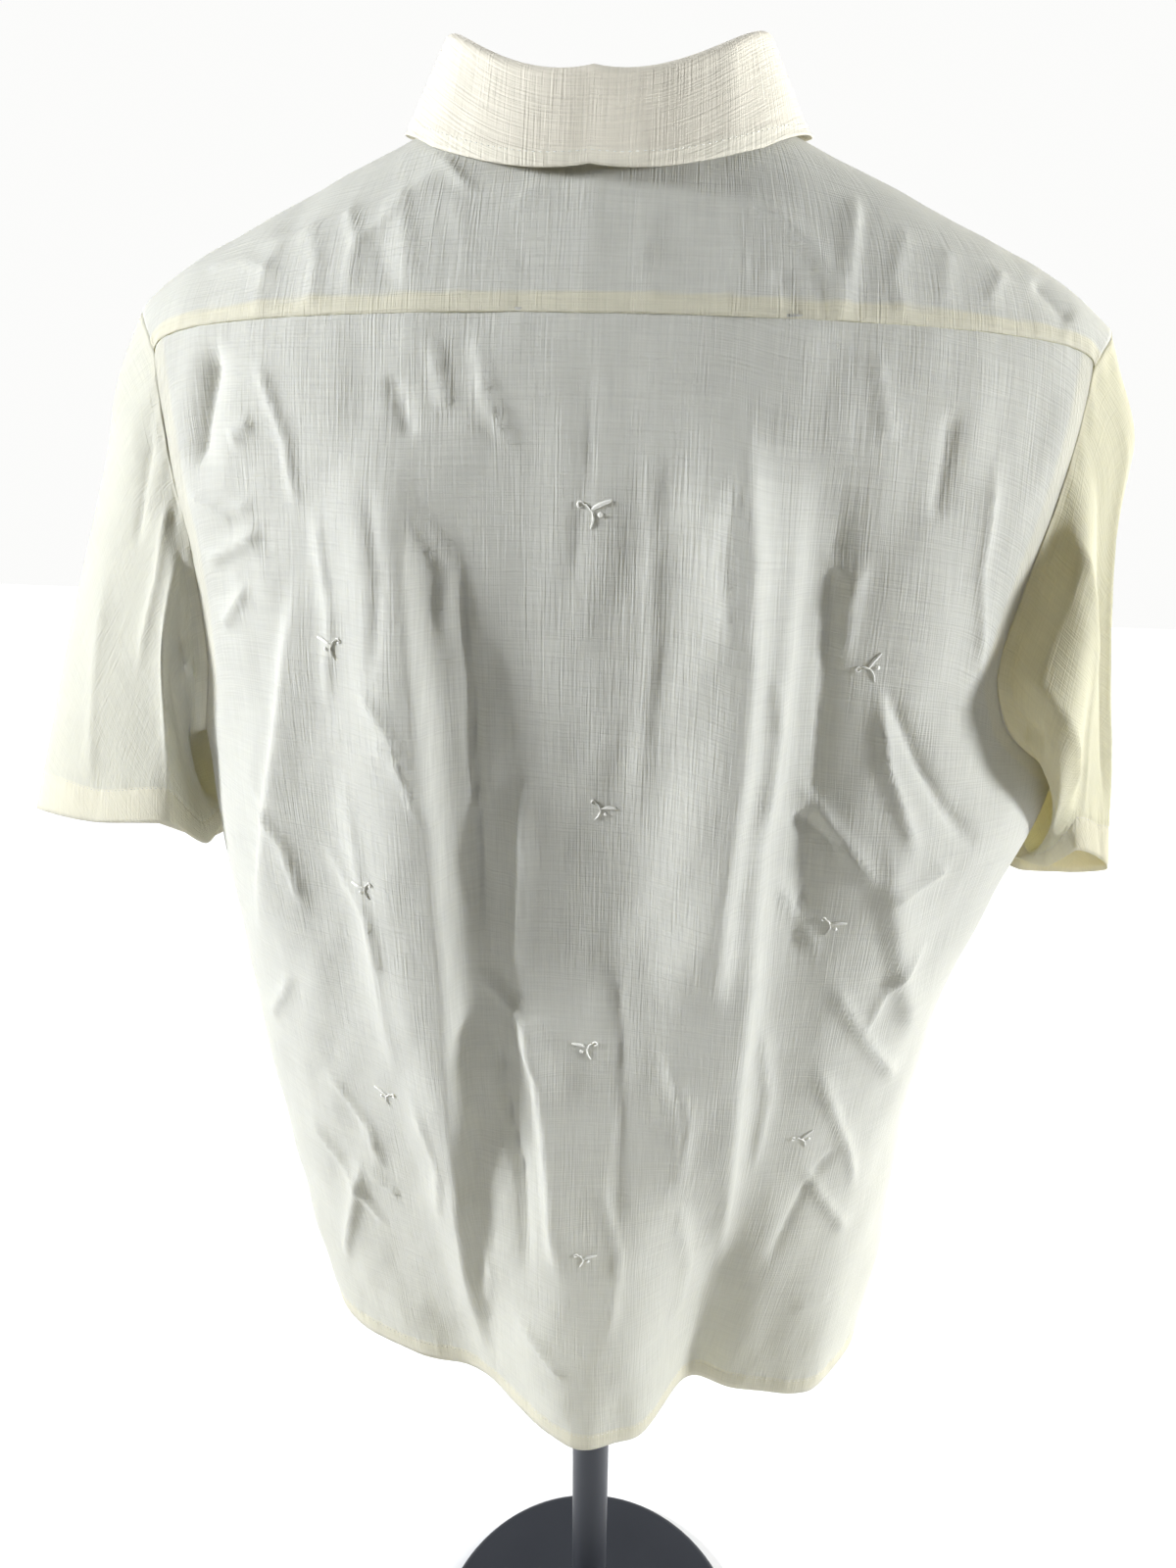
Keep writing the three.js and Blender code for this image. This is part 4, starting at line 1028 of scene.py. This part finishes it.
stitchUp = 1 - collar["stitchIn"] / 85
collarUps = np.unique(np.concatenate([np.linspace(0, 1, collar["up"] + 1), [stitchUp]]))
collarPiece, collarOuter, collarNormal = hang(
    "collar", collarPoint, np.linspace(0, 1, collar["across"] + 1), collarUps, np.zeros(len(collarUps)),
    collarLift,
    lambda base, share, up: 0.25 + 0.3 * between(stitchUp - 0.01, stitchUp, up), finishes["collar"],
    thick=collar["thick"], slot="collar_voile", lining=0.0)
collarFace = collarOuter - collarNormal * collar["thick"]
print("collar turned down")


# Stitching
def rowAt(outer, normal, row, columns=slice(None)):
    return outer[row, columns], normal[row, columns]


def closed(path, normal):
    return np.concatenate([path, path[:1]]), np.concatenate([normal, normal[:1]])


hemRow = 6 + int(np.argmin(np.abs(backUps[6:] - hemShare)))
frontHemRow = 6 + int(np.argmin(np.abs(frontUps[6:] - hemShare)))
sewn("hem_stitches", [
    stitchLine(*rowAt(backOuter, backNormal, hemRow)),
    stitchLine(*rowAt(leftOuter, leftNormal, frontHemRow)),
    stitchLine(*rowAt(rightOuter, rightNormal, frontHemRow)),
])
sleeveRow = int(np.argmin(np.abs(sleeveRows[:-6] - (1 - sleeveHem))))
sewn("sleeve_stitches", [
    stitchLine(*closed(*rowAt(leftSleeveOuter, leftSleeveNormal, sleeveRow))),
    stitchLine(*closed(*rowAt(rightSleeveOuter, rightSleeveNormal, sleeveRow))),
])
collarRow = int(np.argmin(np.abs(collarUps - stitchUp)))
collarParts = [stitchLine(*rowAt(collarFace, -collarNormal, collarRow, slice(5, -5)))]
for column in (5, -6):
    rows = slice(34, collarRow + 1)
    collarParts.append(stitchLine(collarFace[rows, column], -collarNormal[rows, column]))
sewn("collar_stitches", collarParts)
edgeParts = []
for column in (2, 20):
    edgeParts.append(stitchLine(leftOuter[frontHemRow:, column], leftNormal[frontHemRow:, column]))
sewn("placket_stitches", edgeParts)
print("seams stitched")

# Sprigs in satin stitch: a forked stem, a leaf, a curled bud and a dot, seen from behind the shirt
sprig = {
    "strokes": [
        {"path": [(0.4, -6.6), (1.0, -3.8), (0.9, -1.2), (-0.4, 1.0)], "wide": 0.8, "blunt": 0.4},
        {"path": [(-0.2, 0.7), (2.0, 2.6), (4.4, 3.9), (7.0, 5.2)], "wide": 1.7, "blunt": 0.25},
        {"path": [(0.6, -0.6), (-1.2, 1.6), (-2.6, 2.4), (-3.8, 2.0)], "wide": 0.7, "blunt": 0.4},
        {"path": [(-3.4, 2.2), (-4.6, 3.2), (-5.9, 2.6), (-5.8, 1.2), (-4.6, 0.6), (-3.8, 1.4)],
         "wide": 0.9, "blunt": 0.3},
        {"path": [(2.4, -0.9), (4.6, -0.5)], "wide": 2.2, "blunt": 0.6},
    ],
    "high": 1.1,
    "places": [
        {"across": -6, "height": 1018, "turn": -6, "flip": 1, "size": 1.1},
        {"across": 113, "height": 953, "turn": 18, "flip": -1, "size": 0.95},
        {"across": -130, "height": 949, "turn": 22, "flip": 1, "size": 1.0},
        {"across": -12, "height": 882, "turn": -28, "flip": 1, "size": 0.95},
        {"across": 105, "height": 829, "turn": 28, "flip": -1, "size": 0.9},
        {"across": -125, "height": 816, "turn": -24, "flip": 1, "size": 0.95},
        {"across": -7, "height": 743, "turn": 20, "flip": -1, "size": 1.0},
        {"across": 108, "height": 685, "turn": 8, "flip": -1, "size": 1.0},
        {"across": -125, "height": 666, "turn": 14, "flip": 1, "size": 1.0},
        {"across": -6, "height": 602, "turn": -20, "flip": 1, "size": 0.95},
    ],
}


def treeOf(made):
    mesh = made.data
    return BVHTree.FromPolygons([v.co[:] for v in mesh.vertices], [p.vertices[:] for p in mesh.polygons])


backTree = treeOf(backPiece)


def onBack(x, z):
    hit, normal, _, _ = backTree.ray_cast(Vector((x, 400, z)) * 0.001, Vector((0, -1, 0)))
    normal = normal if normal.y > 0 else -normal
    return np.array(hit) * 1000, np.array(normal)


def satinStroke(stroke, place):
    path = np.array(stroke["path"], float) * place["size"]
    path[:, 0] *= place["flip"]
    turn = math.radians(place["turn"])
    path = path @ np.array([[math.cos(turn), math.sin(turn)], [-math.sin(turn), math.cos(turn)]])
    run = np.concatenate([[0], np.cumsum(np.linalg.norm(np.diff(path, axis=0), axis=-1))])
    steps = max(8, int(run[-1] / 0.36))
    at = np.linspace(0, run[-1], steps + 1)
    curve = np.stack([np.interp(at, run, path[:, 0]), np.interp(at, run, path[:, 1])], -1)
    for _ in range(6):
        curve[1:-1] = curve[1:-1] * 0.5 + (curve[:-2] + curve[2:]) * 0.25
    ahead = np.gradient(curve, axis=0)
    ahead /= np.linalg.norm(ahead, axis=-1, keepdims=True)
    rings = []
    for k, ((a, b), (da, db)) in enumerate(zip(curve, ahead)):
        share = k / steps
        full = min(1.0, (math.sin(math.pi * min(max(share, 0.02), 0.98)) + 1e-3) ** stroke["blunt"])
        wide = stroke["wide"] * place["size"] * 0.5 * full
        high = sprig["high"] * full * (1.0 if k % 2 else 0.8)
        for across, lifted in ((-1, 0.0), (-0.75, 0.6), (0, 1.0), (0.75, 0.6), (1, 0.0), (0, -0.25)):
            x = place["across"] - (a - db * across * wide)
            surface, normal = onBack(x, place["height"] + b + da * across * wide)
            rings.append(surface + normal * (high * lifted))
    faces = []
    for k in range(steps):
        for n in range(6):
            a, b = k * 6 + n, k * 6 + (n + 1) % 6
            faces += [[a, b, b + 6], [a, b + 6, a + 6]]
    last = steps * 6
    faces += [[0, n + 1, n] for n in range(1, 5)] + [[last, last + n, last + n + 1] for n in range(1, 5)]
    return np.array(rings), np.array(faces)


sewn("sprigs", [satinStroke(stroke, place) for place in sprig["places"] for stroke in sprig["strokes"]])
print("sprigs worked")


# Turned shapes: buttons, form, pole and base
def turnedShape(profile, around):
    points, faces = [], []
    for r, z in profile:
        for k in range(around):
            angle = k / around * 2 * math.pi
            points.append((r * math.cos(angle), r * math.sin(angle), z))
    for row in range(len(profile) - 1):
        for k in range(around):
            a, b = row * around + k, row * around + (k + 1) % around
            faces.append([a, b, b + around, a + around])
    faces.append(list(range(around))[::-1])
    faces.append([(len(profile) - 1) * around + k for k in range(around)])
    return np.array(points, float), faces


def sharpen(made, angle=0.7):
    made.data.set_sharp_from_angle(angle=angle)


button = {"count": 5, "radius": 5.6, "thick": 2.4, "top": 1008, "spacing": 92}


def makeButton(k):
    z = button["top"] - k * button["spacing"]
    ends = bodyPoint(np.zeros(2), np.array([z + 6.0, z - 6.0]), -1, body["frontFolds"])[:, 1]
    r, t = button["radius"], button["thick"]
    profile = [(r * 0.9, 0), (r, t * 0.25), (r, t * 0.6), (r * 0.96, t * 0.9), (r * 0.86, t),
               (r * 0.74, t * 0.95), (r * 0.62, t * 0.74), (r * 0.3, t * 0.72), (0.05, t * 0.72)]
    points, faces = turnedShape(profile, 40)
    tilt = math.pi / 2 + math.atan2(ends[0] - ends[1], 12)
    turn = np.array(Matrix.Rotation(tilt, 3, "X"))
    move = np.array([0, ends.mean() - 1.5 - 2.65, z])
    made = makeObject(f"button_{k + 1}_turned", points @ turn.T + move, faces, finishes["button"])
    sharpen(made, 0.6)
    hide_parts(f"button_{k + 1}")
    parts = []
    for angle in (0.785, -0.785):
        step = np.array([math.cos(angle), math.sin(angle), 0]) * 1.5
        threadEnds = np.array([-step, step]) + [0, 0, t * 0.74]
        upwards = np.array([[0, 0, 1.0]] * 2)
        somePoints, someFaces = stitchLine(threadEnds, upwards, 2.8, 0.5, 0.5, 0.35, 0.05)
        parts.append((somePoints @ turn.T + move, someFaces))
    return parts


buttonThread = [part for k in range(button["count"]) for part in makeButton(k)]
sewn("button_threads", buttonThread)

form = {"bottom": 640, "chest": 165, "deep": 84, "neckTop": 1176, "neckWide": 56, "neckDeep": 50,
        "around": 96}


def makeForm():
    angle = np.arange(form["around"]) / form["around"] * 2 * math.pi
    a, b = np.sin(angle), np.cos(angle)
    rings = [point(form["chest"] * s * a, form["deep"] * s * b, z) for z, s in (
        (form["bottom"], 0.79), (642, 0.8), (700, 0.86), (740, 0.905), (780, 0.95), (825, 0.985),
        (868, 1.0))]
    for s in (0.995, 0.985, 0.97, 0.95, 0.92, 0.88, 0.83, 0.78, 0.72, 0.66, 0.6, 0.54, 0.49, 0.44):
        x, y = form["chest"] * s * a, form["deep"] * s * b
        edge = form["deep"] * np.sqrt(np.clip(1 - (x / form["chest"]) ** 2, 0, 1))
        top = read(body["shoulders"], "out", "height", np.abs(x)) - 2.0
        high = np.clip(1 - (np.abs(y) / np.maximum(edge, 1e-6)) ** 2.5, 0, 1) ** (1 / 2.5)
        rings.append(point(x, y, np.minimum(868 + (top - 868) * high, form["neckTop"] - 20)))
    for z, s in ((1164, 0.92), (1175, 0.88), (1176, 0.84)):
        rings.append(point(form["neckWide"] * s * a, form["neckDeep"] * s * b, z))
    count = form["around"]
    faces = []
    for row in range(len(rings) - 1):
        for k in range(count):
            first, second = row * count + k, row * count + (k + 1) % count
            faces.append([first, first + count, second + count, second])
    faces.append(list(range(count)))
    faces.append([(len(rings) - 1) * count + k for k in range(count)][::-1])
    made = makeObject("form_shell", np.concatenate(rings), faces, finishes["form"])
    sharpen(made, 0.9)
    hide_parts("form_torso")


stand = {"poleRadius": 14, "baseRadius": 133, "baseThick": 16}


def makeStand():
    r, t = stand["baseRadius"], stand["baseThick"]
    profile = [(0.1, 0.0), (r - 2, 0.0), (r - 0.5, 0.6), (r, 2.0)]
    for k in range(9):  # the rounded rim
        angle = k / 8 * math.pi / 2
        profile.append((r - 5 + 5 * math.cos(angle), t - 9 + 5 * math.sin(angle)))
    profile += [(100, t - 3.4), (70, t - 2.4), (40, t - 1.0), (22, t), (0.1, t)]
    points, faces = turnedShape(profile, 128)
    made = makeObject("base_turned", points, faces, finishes["paint"])
    sharpen(made)
    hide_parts("stand_base")
    pole = stand["poleRadius"]
    points, faces = turnedShape([(pole - 0.6, t + 0.3), (pole, t + 0.9), (pole, 250), (pole, 639.1),
                                 (pole - 0.6, 639.7)], 64)
    made = makeObject("pole_turned", points, faces, finishes["paint"])
    sharpen(made)
    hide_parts("stand_pole")


makeForm()
makeStand()
print("form and stand made")


# Room: a pale floor with a painted glow that grows towards the wall, and soft lights
room = {
    "ambient": 0.06,
    "glow": 0.97,
    "lights": [
        {"name": "leftSoftbox", "place": (2.05, 0.46, 1.6), "size": 0.35, "power": 76,
         "shade": (0.90, 0.93, 1.0)},
        {"name": "rightSoftbox", "place": (-2.05, 0.42, 1.35), "size": 0.35, "power": 50,
         "shade": (0.90, 0.93, 1.0)},
        {"name": "windowAhead", "place": (-1.7, -1.1, 1.2), "size": 0.9, "power": 30,
         "shade": (1.0, 0.98, 0.9)},
        {"name": "overhead", "place": (0.2, 0.9, 2.9), "size": 1.4, "power": 4,
         "shade": (0.97, 0.98, 1.0)},
    ],
}


def makeRoom():
    finish = Finish("floorPaintedGlow")
    place = finish.node("ShaderNodeTexCoord", {}, {}, 3)
    fromBack = finish.node("ShaderNodeSeparateXYZ", {}, {0: place}, 1)
    # painted glow: the floor emits light, faint near the stand and brighter towards the wall
    far = finish.node("ShaderNodeMapRange", {"interpolation_type": "SMOOTHSTEP"},
                      {0: fromBack, 1: -0.4, 2: -2.6})
    floorGlow = finish.show(finish.node("ShaderNodeBsdfPrincipled", {}, {
        "Base Color": (0.85, 0.85, 0.85, 1), "Roughness": 0.9, "Emission Strength": 1.0,
        "Emission Color": finish.blend(far, (0.06, 0.06, 0.06, 1), (0.56, 0.56, 0.55, 1))}))
    finish = Finish("litWall")
    lit = finish.show(finish.node("ShaderNodeEmission", {}, {
        "Color": (1.0, 1.0, 0.99, 1), "Strength": room["glow"]}))
    for name, corners, surface in (
        ("floor", [(-6, -3.2, 0), (6, -3.2, 0), (6, 6, 0), (-6, 6, 0)], floorGlow),
        ("wall", [(-6, -3.2, 0), (-6, -3.2, 5), (6, -3.2, 5), (6, -3.2, 0)], lit),
    ):
        mesh = bpy.data.meshes.new(name)
        mesh.from_pydata(corners, [], [[0, 1, 2, 3]])
        mesh.materials.append(surface)
        made = bpy.data.objects.new(name, mesh)
        bpy.context.collection.objects.link(made)
    world = bpy.data.worlds.new("paleRoom")
    world.use_nodes = True
    world.node_tree.nodes["Background"].inputs[0].default_value = (1.0, 0.97, 0.82, 1)
    world.node_tree.nodes["Background"].inputs[1].default_value = room["ambient"]
    bpy.context.scene.world = world
    for light in room["lights"]:
        data = bpy.data.lights.new(light["name"], "AREA")
        data.size = light["size"]
        data.energy = light["power"]
        data.color = light["shade"]
        made = bpy.data.objects.new(light["name"], data)
        made.location = light["place"]
        aim = Vector((0, 0, 0.85)) - Vector(light["place"])
        made.rotation_euler = aim.to_track_quat("-Z", "Y").to_euler()
        bpy.context.collection.objects.link(made)
    bpy.context.scene.view_settings.view_transform = "Standard"


makeRoom()
print("room lit")
